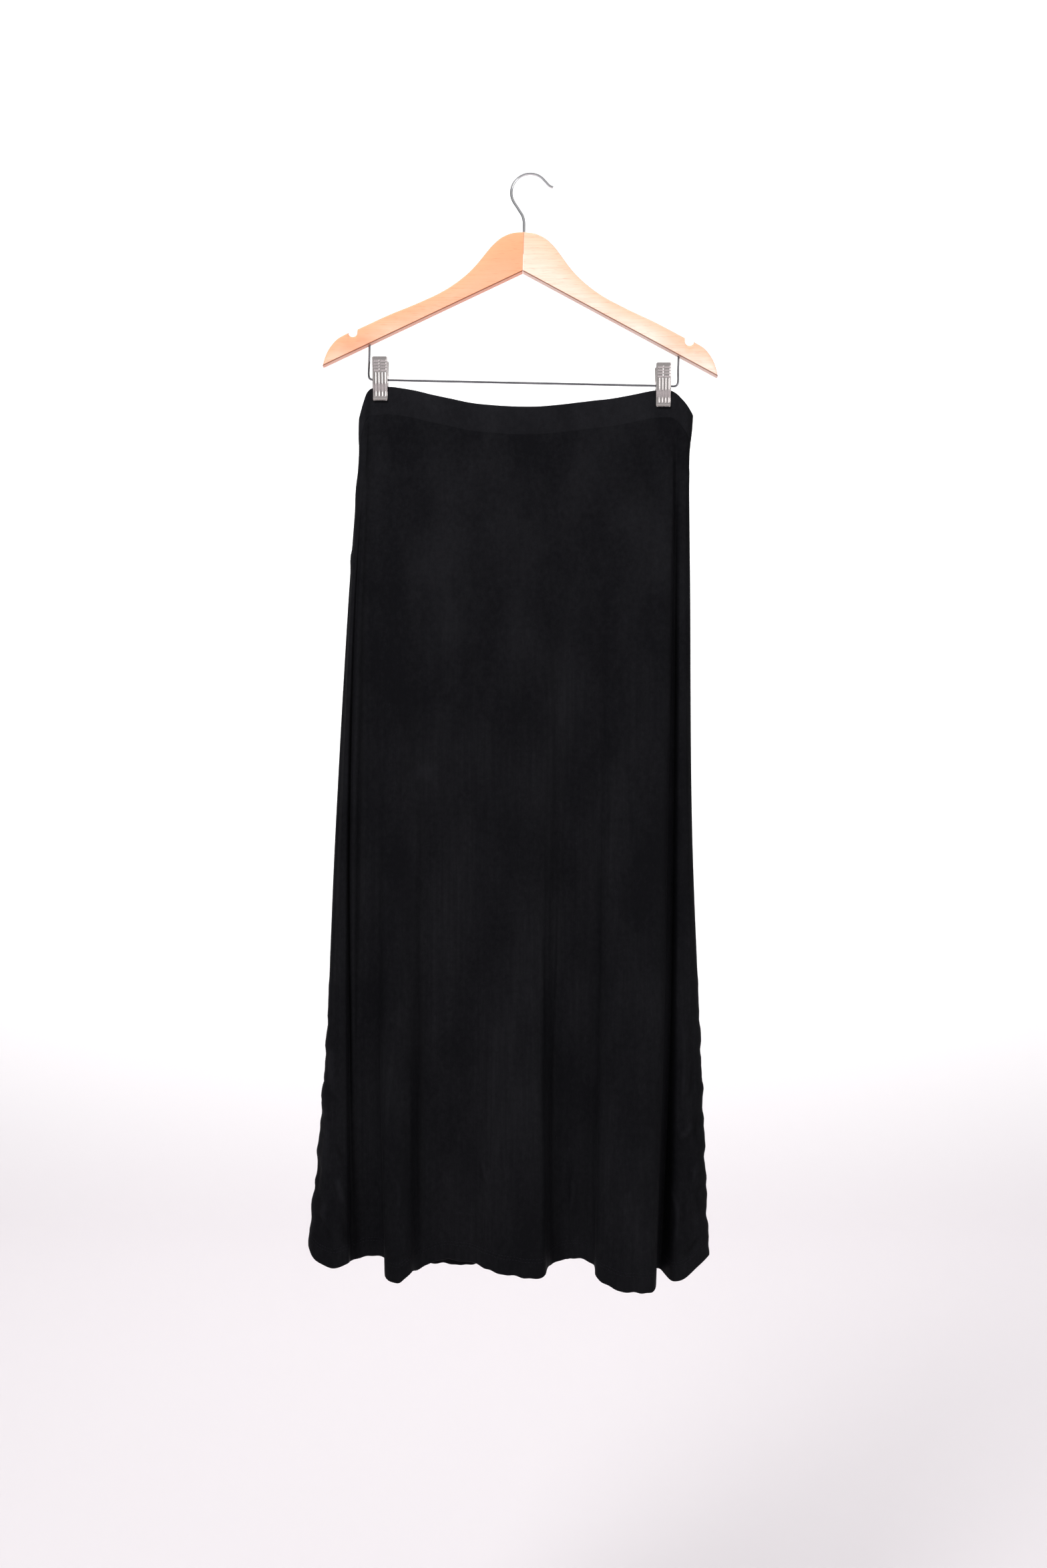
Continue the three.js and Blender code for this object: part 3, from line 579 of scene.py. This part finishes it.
def add_stitch(points, faces, start, end, out):
    """A short thread that dips into the cloth at both ends."""
    along = end - start
    across = np.cross(along, out)
    across /= np.linalg.norm(across)
    sides = 6
    faces += capped_faces(len(STITCH_RISES), sides, len(points))
    for share, size, rise in STITCH_RISES:
        radius = STITCH_WIDTH / 2 * size
        centre = start + along * share + out * rise
        points += ring_points(centre, radius * across, 0.8 * radius * out, sides)


def waistband(materials):
    """The elastic casing: a ring with a rounded top and softly puffed faces."""
    columns, rows = BAND_GRID
    folds = even_folds(LEFT_SEAM, LEFT_SEAM + ALL_FOLDS, columns + 1)[:-1]
    ends = panel_starts(folds) - BAND_CLEARANCE / GRIP_DEPTH / LEVEL_SPANS
    grid = cloth_grid(folds, np.zeros(columns), ends, np.linspace(0, 1, rows))
    out = out_of(grid, True)
    down = np.linspace(0, 1, rows)[:, None]
    x = grid[..., 0]
    pressed = sum(np.exp(-(((x - centre) / CLIP_PRESS_WIDTH) ** 4)) for centre in CLIP_CENTRES.values())
    puff = BAND_PUFF * np.sin(np.pi * down) * (1 - np.clip(pressed, 0, 1))
    edge = BAND_EDGE_DIP * np.exp(-(((1 - down) * BAND_DEPTH / BAND_EDGE_WIDTH) ** 2))
    outer = grid + out * (puff - edge)[..., None]
    inner = grid - out * (BAND_WALL + puff * 0.3 - edge * 0.5)[..., None]
    points, faces = shell(outer, inner, True, rim=3)
    return new_object("waistband_casing", points.reshape(-1, 3), faces, materials["casing"])


# Wires

def tube(name, line, radius, sides, material):
    """A round wire along a line of points, with slightly broken edges at its cut ends."""
    line = np.asarray(line, float)
    along = np.gradient(line, axis=0)
    along /= np.linalg.norm(along, axis=1, keepdims=True)
    edge = WIRE_EDGE * radius
    line = np.array([line[0] - along[0] * edge, *line, line[-1] + along[-1] * edge])
    along = np.array([along[0], *along, along[-1]])
    radii = np.full(len(line), float(radius))
    radii[[0, -1]] -= edge
    side = np.cross(along[0], (0.3, 0.9, 0.2))
    points = []
    for centre, direction, reach in zip(line, along, radii):
        side = side - direction * np.dot(side, direction)
        side /= np.linalg.norm(side)
        points += ring_points(centre, reach * side, reach * np.cross(direction, side), sides)
    return new_object(name, points, capped_faces(len(line), sides), material)


def tilted(points):
    """Points of the hanger's own frame, (x, y, z) from its apex, in the part's frame."""
    x, y, z = np.asarray(points, float).T
    return np.stack([APEX[0] + x * math.cos(TILT) + z * math.sin(TILT), y,
                     APEX[1] - x * math.sin(TILT) + z * math.cos(TILT)], 1)


def hook(materials):
    """The wire hook: a shank in the wood, a round crook and a short tip."""
    def in_wood(depth):
        return (APEX[0] - depth * math.sin(TILT), APEX[1] - depth * math.cos(TILT))
    shank = [in_wood(23), in_wood(8), in_wood(-6), (-7.9, -52), (-9.2, -46), (-14, -38)]
    centre_x, centre_z = -0.7, 1.95 - HOOK_RADIUS
    angles = map(math.radians, range(205, 34, -17))
    crook = [(centre_x + HOOK_RADIUS * math.cos(a), centre_z + HOOK_RADIUS * math.sin(a)) for a in angles]
    line = smooth_line([(x, 0, z) for x, z in [*shank, *crook, (21.6, -12), (25, -13.4)]], 150)
    return tube("hook_wire", line, HOOK_WIRE / 2, 20, materials["chrome"])


def arm_bottom(x):
    """Height of an arm's lower edge at x from the hanger's middle."""
    return -CENTRE_HEIGHT - (TIP_DROP - CENTRE_HEIGHT) * abs(x) / HALF_SPAN


def lower_bar(materials):
    """The bent bar: two legs that go up into the wood, and the bar between them."""
    bend = 4
    corner = 0.3 * bend

    def half(x, inward, drop):
        return [(x, arm_bottom(x) + 8), (x, -150), (x, bend - drop), (x + inward * corner, corner - drop),
                (x + inward * bend, -drop), (x + inward * 3 * bend, -drop)]

    points = half(BAR_LEFT, 1, BAR_DROP_LEFT) + half(BAR_RIGHT, -1, BAR_DROP_RIGHT)[::-1]
    line = tilted(smooth_line([(x, 0, z) for x, z in points], 240))
    return tube("bar_wire", line, BAR_WIRE / 2, 16, materials["darkened_bar_chrome"])


def bar_height(x):
    """Height of the bar's centre at one of the part's own x."""
    from_centre = (x - APEX[0] + BAR_DROP_LEFT * math.sin(TILT)) / math.cos(TILT)
    share = (from_centre - BAR_LEFT) / (BAR_RIGHT - BAR_LEFT)
    drop = BAR_DROP_LEFT + (BAR_DROP_RIGHT - BAR_DROP_LEFT) * share
    return APEX[1] - from_centre * math.sin(TILT) - drop * math.cos(TILT)


# Wood

ARM_TOP = [(0, 0), (12, -1.2), (24, -6.2), (34, -14.8), (43, -25.8), (52, -37.5), (62, -48.3), (76, -60),
           (92, -70.5), (120, -84.3), (150, -97.5), (184.3, -114.5)]
ARM_SHOULDER = [(194.7, -118.7), (203, -123.3), (207.5, -126.6), (211.8, -131.4), (216.5, -138.5),
                (220, -147), (222.5, -157)]


def arm_top(x):
    """Height of an arm's upper edge, with its strap notch, at distances from the centre joint."""
    top = smooth_line(ARM_TOP, 300).T
    shoulder = smooth_line(ARM_SHOULDER, 100).T
    beside = np.clip(np.abs(x - NOTCH_X), 0, NOTCH_RADIUS)
    notch = NOTCH_Z - np.sqrt(NOTCH_RADIUS ** 2 - beside ** 2)
    height = np.where(x > NOTCH_X - NOTCH_RADIUS, notch, np.interp(x, *top))
    return np.where(x > NOTCH_X + NOTCH_RADIUS, np.interp(x, *shoulder), height)


def arm(side, materials):
    """One wooden arm, from upright sections with rounded corners. side is -1 for the left."""
    notch_angles = np.linspace(0.02, math.pi - 0.02, 22)
    stations = np.concatenate([
        np.arange(FIT / 2, 60, 1.5), np.arange(60, NOTCH_X - NOTCH_RADIUS - 0.2, 3),
        [NOTCH_X - NOTCH_RADIUS - 0.1], NOTCH_X - NOTCH_RADIUS * np.cos(notch_angles),
        [NOTCH_X + NOTCH_RADIUS + 0.1], np.arange(196, 220, 1.2), np.arange(220.2, 222.3, 0.35), [222.3]])
    tops, bottoms = arm_top(stations), arm_bottom(stations)
    points, tones = [], []
    for x, top, bottom in zip(stations, tops, bottoms):
        from_tip = min(HALF_SPAN - x, WOOD_ROUND)
        taper = WOOD_ROUND - math.sqrt(WOOD_ROUND ** 2 - (WOOD_ROUND - from_tip) ** 2)
        half = WOOD_THICK / 2 - 0.8 * taper
        corner = min(WOOD_ROUND, 0.48 * (top - bottom))
        for y, z, tone in section(half, bottom, top, corner):
            points.append((side * x, y, z))
            tones.append(tone)
    faces = capped_faces(len(stations), len(points) // len(stations))
    if side < 0:
        faces = [loop[::-1] for loop in faces]
    end = "left" if side < 0 else "right"
    made = new_object(f"arm_{end}", tilted(points), faces, materials[f"wood_{end}"])
    set_values(made, "edge_shade_and_top_tint", tones)
    made.data.set_sharp_from_angle(angle=math.radians(50))
    return made


def section(half, bottom, top, corner):
    """An upright section of an arm as (y, z, tone). Tone is 1 at its lower front edge, where it paints
    shade along the rounding, a little over 0 on the underside for faint painted shade, and -1 at the
    upper.
    """
    low = min(WOOD_LOWER_ROUND, corner)
    corners = ((low - half, bottom + low, low, 180, 1), (half - low, bottom + low, low, 270, 0.1),
               (half - corner, top - corner, corner, 0, 0), (corner - half, top - corner, corner, 90, -1))
    marks = []
    for centre_y, centre_z, radius, start, tone in corners:
        for step in range(6):
            angle = math.radians(start + 18 * step)
            marks.append((centre_y + radius * math.cos(angle), centre_z + radius * math.sin(angle), tone))
    lip = 0.4 * low
    return [(-half, bottom + low + lip, 0), *marks[:6], (low - half + lip, bottom, 0.12), *marks[6:]]


# Clips

# A clip's plate as seen from the side, (y, height over the bar)
PLATE_LINE = [(-12.5, 23.7), (-11.5, 19), (-8.4, 6), (-7.6, 0), (-7, -5), (-3.6, -15), (-3.5, -21),
              (-5.4, -24)]
PLATE_ROUND = 1.6  # of the plate's corners
TURN_WIDTH = 0.9  # width of the rounding where a side turns back
TURN_STEPS = ((0, 1), (0.06, 0.62), (0.26, 0.26), (0.55, 0.06))  # its steps: how far in, and how far back
FLAT_RIBS = (19.4, 16.2, 13, 9.8)  # heights of the short level ribs over the bar
UPRIGHT_RIBS = (-5.4, -1.8, 1.8, 5.4)
RIB_TOP, RIB_BOTTOM = 7.2, -19.4
RIB_HEIGHT = 0.55
EAR_ROOT = 7.2  # how far from the bar's centre, towards its plate, an ear starts
EAR_REACH = 3.6
CLIP_SHARP = math.radians(60)
FRONT_FLANGE = 2.4  # how deep the front plate's rim is where it is deepest
FLANGE_FOOT, FLANGE_HEAD = (-13, -5), (22.5, 19)  # heights over the bar between which it swells


def rib_lift(x, z):
    """How far the pressed ribs stand out of a clip's plate."""
    lift = np.zeros(np.broadcast(x, z).shape)
    for height in FLAT_RIBS:
        for low, high in ((-7, -0.6), (0.6, 7)):
            beyond = np.maximum(np.maximum(low + 0.8 - x, x - high + 0.8), 0)
            lift = np.maximum(lift, ramp(-np.hypot(beyond, z - height), -1.25, -0.3))
    for centre in UPRIGHT_RIBS:
        beyond = np.maximum(np.maximum(RIB_BOTTOM + 1 - z, z - RIB_TOP + 1), 0)
        lift = np.maximum(lift, ramp(-np.hypot(beyond, x - centre), -1.35, -0.3))
    return lift * RIB_HEIGHT


def clip_plate(name, side, clip, flange, ear_from_middle, material):
    """A pressed plate with turned sides and two ears. side is -1 for the front plate, 1 for the rear."""
    line = smooth_line(PLATE_LINE, 110)
    depth, height = line.T
    along = np.gradient(line, axis=0)
    along /= np.linalg.norm(along, axis=1, keepdims=True)
    half = CLIP_WIDTH / 2
    flat_half = half - TURN_WIDTH
    inward, set_back = np.array(TURN_STEPS).T
    flat = np.linspace(-flat_half, flat_half, 45)
    across = np.concatenate([inward - half, flat, half - inward[::-1]])
    set_back = np.concatenate([set_back, np.zeros(len(flat)), set_back[::-1]])
    from_end = np.minimum(height[0] - height, height - height[-1])
    rounding = PLATE_ROUND - np.clip(from_end, 0.02, PLATE_ROUND)
    inset = PLATE_ROUND - np.sqrt(PLATE_ROUND ** 2 - rounding ** 2)
    widths = ((half - inset) / half)[:, None]
    swell = ramp(height, *FLANGE_FOOT) * ramp(height, *FLANGE_HEAD)
    turned = CLIP_SHEET + (flange - CLIP_SHEET) * swell
    outermost = np.abs(across) >= half
    set_back = np.where(outermost, turned[:, None], set_back)
    lift = rib_lift(across, height[:, None]) * (np.abs(across) <= flat_half)
    outward = np.stack([along[:, 1], -along[:, 0]], 1)
    outward *= np.where(outward[:, :1] > 0, -1, 1)

    def face(offset, places):
        y = depth[:, None] + outward[:, :1] * offset
        z = height[:, None] + outward[:, 1:] * offset
        return np.stack([places * widths, -side * y, z], -1)

    outer = face(lift - set_back, across)
    beside = across - np.clip(across, -flat_half, flat_half)
    inside = across - beside * CLIP_SHEET / TURN_WIDTH
    inner = face(lift - np.where(outermost, turned[:, None], CLIP_SHEET), inside)
    sheet, faces = shell(outer, inner, False, rim=0)
    points = sheet.reshape(-1, 3).tolist()
    for start in (-ear_from_middle + 0.05, ear_from_middle - CLIP_SHEET - 0.05):
        add_ear(points, faces, side, start)
    if side > 0:
        faces = [loop[::-1] for loop in faces]
    points = np.array(points) + (CLIP_CENTRES[clip], 0, bar_height(CLIP_CENTRES[clip]))
    made = new_object(name, points, faces, material)
    made.data.set_sharp_from_angle(angle=CLIP_SHARP)
    return made


def add_ear(points, faces, side, start):
    """A flat ear with the hole that the bar passes through, as a ring of quads."""
    root = side * EAR_ROOT
    arc = map(math.radians, range(90, -91, -12))
    outline = [(root * s, 5 - 1.4 * (1 - s)) for s in (1, 0.75, 0.5, 0.25)]
    outline += [(-side * EAR_REACH * math.cos(a), EAR_REACH * math.sin(a)) for a in arc]
    outline += [(root * s, -EAR_REACH - s) for s in (0.25, 0.5, 0.75, 1)]
    outline += [(root, z) for z in (-2.4, 0, 2.6)]
    hole = [(y * EAR_HOLE / math.hypot(y, z), z * EAR_HOLE / math.hypot(y, z)) for y, z in outline]
    end = start + CLIP_SHEET
    index = len(points) + np.arange(4 * len(outline)).reshape(4, -1)
    below = np.roll(index, -1, 0)
    quads = np.stack([index, np.roll(index, -1, 1), np.roll(below, -1, 1), below], -1)
    faces += quads.reshape(-1, 4).tolist()
    for x, ring in ((start, outline), (start, hole), (end, hole), (end, outline)):
        points += [(x, y, z) for y, z in ring]


def clip_spring(name, clip, material):
    """The coiled spring round the bar."""
    turns, radius, wire, half = 8.5, 2.62, 0.52, 4.9
    shares = np.linspace(0, 1, int(turns * 20))
    angles = shares * turns * 2 * np.pi
    centre = np.array((CLIP_CENTRES[clip], 0, bar_height(CLIP_CENTRES[clip])))
    line = np.stack([(2 * shares - 1) * half, radius * np.cos(angles), radius * np.sin(angles)], 1)
    return tube(name, line + centre, wire, 8, material)


# Materials

class Nodes:
    """Short calls to build the nodes of one material, or of the world."""

    def __init__(self, owner):
        self.owner = owner
        owner.use_nodes = True
        self.tree = owner.node_tree
        self.shader = self.tree.nodes.get("Principled BSDF") or self.tree.nodes["Background"]

    def link(self, socket, value):
        if isinstance(value, bpy.types.NodeSocket):
            self.tree.links.new(value, socket)
        else:
            socket.default_value = value

    def add(self, kind, values=None, **settings):
        node = self.tree.nodes.new(kind)
        for key, value in settings.items():
            setattr(node, key, value)
        for key, value in (values or {}).items():
            self.link(node.inputs[key], value)
        return node

    def set(self, **values):
        for key, value in values.items():
            self.link(self.shader.inputs[key.replace("_", " ")], value)

    def height(self):
        place = self.add("ShaderNodeTexCoord").outputs["Object"]
        return self.add("ShaderNodeSeparateXYZ", {0: place}).outputs["Z"]

    def attribute(self, name):
        return self.add("ShaderNodeAttribute", attribute_name=name).outputs["Fac"]

    def math(self, kind, first, second):
        return self.add("ShaderNodeMath", {0: first, 1: second}, operation=kind).outputs[0]

    def graded(self, value, stops):
        node = self.add("ShaderNodeValToRGB", {0: value})
        for extra in stops[2:]:
            node.color_ramp.elements.new(extra[0])
        for element, (position, grey) in zip(node.color_ramp.elements, sorted(stops)):
            element.position = position
            element.color = (grey, grey, grey, 1)
        return node.outputs["Color"]

    def noise(self, scale, stretch=(1, 1, 1), detail=3.0, roughness=0.5, turn=0.0):
        place = self.add("ShaderNodeTexCoord").outputs["Object"]
        mapped = self.add("ShaderNodeMapping", {
            "Vector": place, "Scale": stretch, "Rotation": (0, turn, 0)}).outputs["Vector"]
        return self.add("ShaderNodeTexNoise", {
            "Vector": mapped, "Scale": scale, "Detail": detail, "Roughness": roughness}).outputs["Fac"]

    def mix(self, share, first, second):
        values = {0: share, 6: first, 7: second}
        return self.add("ShaderNodeMix", values, data_type="RGBA").outputs[2]

    def range(self, value, low, high, new_low, new_high):
        node = self.add("ShaderNodeMapRange", {
            "Value": value, "From Min": low, "From Max": high, "To Min": new_low, "To Max": new_high})
        return node.outputs["Result"]

    def bump(self, height, strength, distance, before=None):
        values = {"Height": height, "Strength": strength, "Distance": distance}
        if before is not None:
            values["Normal"] = before
        return self.add("ShaderNodeBump", values).outputs["Normal"]


def jersey(name, light, dark):
    """Fine black knit: mottled by small lighter specks, with upright streaks below the hips."""
    nodes = Nodes(bpy.data.materials.new(name))
    specks = nodes.noise(190, (1, 1, 0.8), 8, 0.8)
    cloud = nodes.noise(16, (1, 1, 0.5), 3, 0.5)
    shade = nodes.mix(nodes.range(nodes.math("ADD", specks, cloud), 0.8, 1.24, 0, 1), dark, light)
    streak = nodes.range(nodes.noise(260, (1, 1, 0.025), 3, 0.6), 0.35, 0.65, 0, 1)
    below_hips = nodes.range(nodes.height(), -0.42, -0.62, 0.1, 0.45)
    tone = nodes.mix(nodes.math("MULTIPLY", streak, below_hips), shade, dark)
    # Painted highlight and shade: the crease value lightens ridges and darkens troughs, and the rub patch
    # carried in it is real wear.
    crease_shading_and_rub = nodes.attribute("crease_shading_and_rub")
    tone = nodes.mix(nodes.range(crease_shading_and_rub, 0.1, 1, 0, 0.34), tone, linear(38, 38, 42))
    tone = nodes.mix(nodes.range(crease_shading_and_rub, -0.1, -1, 0, 0.6), tone, linear(7, 7, 8))
    nodes.set(Base_Color=tone, Roughness=0.62, Specular_IOR_Level=0.03,
              Sheen_Weight=0.008, Sheen_Roughness=0.4, Sheen_Tint=(0.9, 0.9, 1, 1))
    knit = nodes.noise(900, (1, 1, 0.5), 2, 0.5)
    drape = nodes.noise(130, (1, 1, 0.03), 3, 0.55)
    rough = nodes.bump(knit, 0.3, 0.0005)
    nodes.set(Normal=nodes.bump(drape, 0.3, 0.0014, rough))
    return nodes.owner


def wood(name, pale, deep, joint, upper, slope):
    """Pale beech under satin lacquer. The grain runs along the arm, as slope says.

    The colour turns to joint near the middle of the hanger and to upper along the top edge.
    """
    nodes = Nodes(bpy.data.materials.new(name))
    grain = nodes.noise(700, (0.03, 1, 1), 4, 0.6, slope)
    cloud = nodes.noise(20, (0.5, 1, 1), 4, 0.55, slope)
    fleck = nodes.noise(1300, (0.08, 1, 1), 2, 0.5, slope)
    tone = nodes.mix(nodes.range(cloud, 0.36, 0.64, 0, 1), pale, deep)
    tone = nodes.mix(nodes.range(nodes.height(), -0.2, -0.08, 0, 1), tone, joint)
    edge = nodes.attribute("edge_shade_and_top_tint")
    tone = nodes.mix(nodes.range(edge, -0.35, -1, 0, 0.6), tone, upper)
    tone = nodes.mix(nodes.range(grain, 0.42, 0.7, 0, 0.27), tone, linear(238, 148, 110))
    tone = nodes.mix(nodes.range(fleck, 0.6, 0.74, 0, 0.32), tone, linear(196, 116, 80))
    # Painted shade: the lower front edge is darkened to a brown line, and the underside faintly.
    tone = nodes.mix(nodes.range(edge, 0, 1, 0, 0.85), tone, linear(128, 76, 48))
    nodes.set(Base_Color=tone, Roughness=nodes.range(grain, 0.2, 0.8, 0.4, 0.5), Specular_IOR_Level=0.3,
              Coat_Weight=0.08, Coat_Roughness=0.3, Normal=nodes.bump(grain, 0.12, 0.0004))
    return nodes.owner


def metal(name, colour, roughness, wear):
    """Plated metal with faint rubbing marks."""
    nodes = Nodes(bpy.data.materials.new(name))
    marks = nodes.noise(160, (1, 1, 1), 4, 0.6)
    nodes.set(Base_Color=nodes.mix(nodes.range(marks, 0.45, 0.7, 0, wear), colour, (0.45, 0.43, 0.42, 1)),
              Metallic=1.0, Roughness=nodes.range(marks, 0.3, 0.7, roughness, roughness + 0.1),
              Normal=nodes.bump(marks, 0.015, 0.0003))
    return nodes.owner


def plain(name, colour, roughness):
    """A dull thread, a little mottled."""
    nodes = Nodes(bpy.data.materials.new(name))
    nodes.set(Base_Color=nodes.mix(nodes.noise(700), colour, tuple(0.7 * c for c in colour[:3]) + (1,)),
              Roughness=roughness, Specular_IOR_Level=0.05)
    return nodes.owner


def all_materials():
    return {
        "jersey": jersey("jersey", linear(24.4, 24.4, 26.9), linear(13.4, 13.4, 15.9)),
        # The casing is the same jersey in a lighter copy: its lighter colours are painted light for the
        # band lit from above.
        "casing": jersey("casing", linear(29, 29, 31.8), linear(20, 20, 22.6)),
        "thread": plain("thread", linear(31, 31, 35), 0.75),
        "wood_left": wood("beech_left", linear(253, 196, 171), linear(247, 160, 129),
                          linear(252, 158, 118), linear(248, 172, 132), math.radians(-27)),
        # The right arm gets a paler copy of the beech: its colours are partly the wood's own tone and
        # partly painted sheen from the light falling on that arm.
        "wood_right": wood("beech_right_paler_with_painted_sheen", linear(255, 232, 220), linear(252, 200, 178),
                           linear(253, 214, 196), linear(250, 184, 148), math.radians(28)),
        "chrome": metal("chrome", (0.72, 0.72, 0.74, 1), 0.08, 0.15),
        # The bar is the same chrome as the hook in a darkened copy: its dark base colour paints in the
        # dark reflections that the level bar shows.
        "darkened_bar_chrome": metal("darkened_bar_chrome", (0.24, 0.24, 0.26, 1), 0.08, 0.15),
        "nickel": metal("nickel", (0.66, 0.61, 0.6, 1), 0.2, 0.15),
    }


# Surroundings

def make_camera():
    camera = bpy.data.objects.new("camera", bpy.data.cameras.new("camera"))
    camera.location = CAMERA_PLACE
    camera.rotation_euler = (math.pi / 2, 0, 0)
    camera.data.lens = CAMERA_LENS
    camera.data.sensor_width = CAMERA_SENSOR
    bpy.context.scene.collection.objects.link(camera)
    bpy.context.scene.camera = camera


def make_world():
    """White for the camera, light from in front and above, and for metal to mirror also pale sides."""
    world = bpy.data.worlds.new("pale_room")
    bpy.context.scene.world = world
    nodes = Nodes(world)
    place = nodes.add("ShaderNodeTexCoord").outputs["Generated"]
    x, y, z = nodes.add("ShaderNodeSeparateXYZ", {0: place}).outputs
    across = nodes.math("MULTIPLY", nodes.math("ADD", x, 1), 0.5)
    front = nodes.graded(nodes.math("MULTIPLY", y, -1), [(0.45, 0.05), (0.9, 0.4)])
    above = nodes.graded(z, [(0.2, 0), (0.9, 0.7)])
    aside = nodes.graded(across, [
        (0.02, 0.12), (0.12, 0.36), (0.32, 0.72), (0.45, 0.5), (0.48, 0.12), (0.57, 0.08),
        (0.72, 0.65), (0.9, 0.4), (0.98, 0.1)])
    above_floor = nodes.graded(nodes.math("ADD", z, 0.5), [(0, 0.1), (0.45, 1)])
    ray = nodes.add("ShaderNodeLightPath").outputs
    mirrored = nodes.math("MULTIPLY", nodes.math("MULTIPLY", aside, above_floor), ray["Is Glossy Ray"])
    room = nodes.math("MAXIMUM", nodes.math("MAXIMUM", front, above), mirrored)
    nodes.set(Color=nodes.math("MAXIMUM", room, ray["Is Camera Ray"]), Strength=1.0)


def make_stage():
    """A pale floor that turns up into a backdrop well behind the part."""
    floor_z, wall_y, bend, side = -1900, 3600, 900, 5200
    turn = [(wall_y - bend + bend * math.sin(a), floor_z + bend - bend * math.cos(a))
            for a in np.linspace(0, math.pi / 2, 16)]
    profile = [(-5200, floor_z), (0, floor_z), *turn, (wall_y, 2600)]
    points = [(x, y, z) for y, z in profile for x in (-side, side)]
    faces = [[2 * k, 2 * k + 1, 2 * k + 3, 2 * k + 2] for k in range(len(profile) - 1)]
    nodes = Nodes(bpy.data.materials.new("pale_backdrop_shaded_low"))
    place = nodes.add("ShaderNodeNewGeometry").outputs["Position"]
    height = nodes.add("ShaderNodeSeparateXYZ", {0: place}).outputs["Z"]
    # Painted shade: the floor and the foot of the backdrop turn grey, white higher up.
    tone = nodes.mix(nodes.range(height, -1.9, -0.9, 0, 1), linear(200, 195, 198), (1, 1, 1, 1))
    nodes.set(Base_Color=tone, Roughness=0.9, Emission_Color=tone, Emission_Strength=0.35)
    floor = new_object("pale_floor", points, faces, nodes.owner)


def add_light(name, place, target, size, power, mirrored):
    lamp = bpy.data.lights.new(name, "AREA")
    lamp.shape = "DISK"
    lamp.size = size
    lamp.energy = power
    made = bpy.data.objects.new(name, lamp)
    made.location = place
    made.rotation_euler = (Vector(target) - Vector(place)).to_track_quat("-Z", "Y").to_euler()
    made.visible_glossy = mirrored
    bpy.context.scene.collection.objects.link(made)


def make_lights():
    add_light("key", (-1.05, -1.85, 1.05), (0, 0, -0.5), 0.9, 62, mirrored=False)
    add_light("fill", (2.2, -2.6, -0.3), (0, 0, -0.7), 2.0, 28, mirrored=True)
    add_light("backdrop_wash", (0, 1.4, 1.8), (0, 3.6, -0.6), 2.5, 60, mirrored=True)


# The whole

def finish_piece(piece, slot, *nodes):
    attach(piece, "root")
    if nodes:
        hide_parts(*nodes)


def dress_skirt(materials):
    band = waistband(materials)
    finish_piece(band, "casing", "waistband")
    front, front_stitches = panel("front_jersey", LEFT_SEAM, RIGHT_SEAM, FRONT_GRID, FRONT_CREASES,
                                  FRONT_CRINKLES, materials)
    back, back_stitches = panel("back_jersey", RIGHT_SEAM, LEFT_SEAM + ALL_FOLDS, BACK_GRID, BACK_CREASES,
                                BACK_CRINKLES, materials)
    finish_piece(front, "jersey", "front_panel")
    finish_piece(back, "jersey", "back_panel")
    finish_piece(front_stitches, "jersey")
    finish_piece(back_stitches, "jersey")


def dress_hanger(materials):
    finish_piece(hook(materials), "chrome", "hanger_hook")
    finish_piece(lower_bar(materials), "chrome", "hanger_bar")
    finish_piece(arm(-1, materials), "wood", "hanger_arm_left")
    finish_piece(arm(1, materials), "wood", "hanger_arm_right")
    front_ear = CLIP_WIDTH / 2
    rear_ear = front_ear - CLIP_SHEET - FIT
    nickel = materials["nickel"]
    for clip in CLIP_CENTRES:
        front = clip_plate(f"clip_{clip}_front", -1, clip, FRONT_FLANGE, front_ear, nickel)
        rear = clip_plate(f"clip_{clip}_rear", 1, clip, CLIP_SHEET, rear_ear, nickel)
        spring = clip_spring(f"clip_{clip}_coil", clip, materials["chrome"])
        finish_piece(front, "nickel", f"clip_{clip}_front_plate")
        finish_piece(rear, "nickel", f"clip_{clip}_rear_plate")
        finish_piece(spring, "nickel", f"clip_{clip}_spring")


make_camera()
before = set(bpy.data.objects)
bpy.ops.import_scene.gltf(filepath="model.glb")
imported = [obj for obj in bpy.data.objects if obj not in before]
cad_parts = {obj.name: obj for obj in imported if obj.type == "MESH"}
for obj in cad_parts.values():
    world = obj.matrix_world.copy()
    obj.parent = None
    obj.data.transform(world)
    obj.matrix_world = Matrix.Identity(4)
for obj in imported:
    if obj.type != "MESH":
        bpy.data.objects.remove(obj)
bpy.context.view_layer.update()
bpy.context.scene.view_settings.view_transform = "Standard"
make_world()
make_stage()
make_lights()
parts = all_materials()
dress_hanger(parts)
dress_skirt(parts)
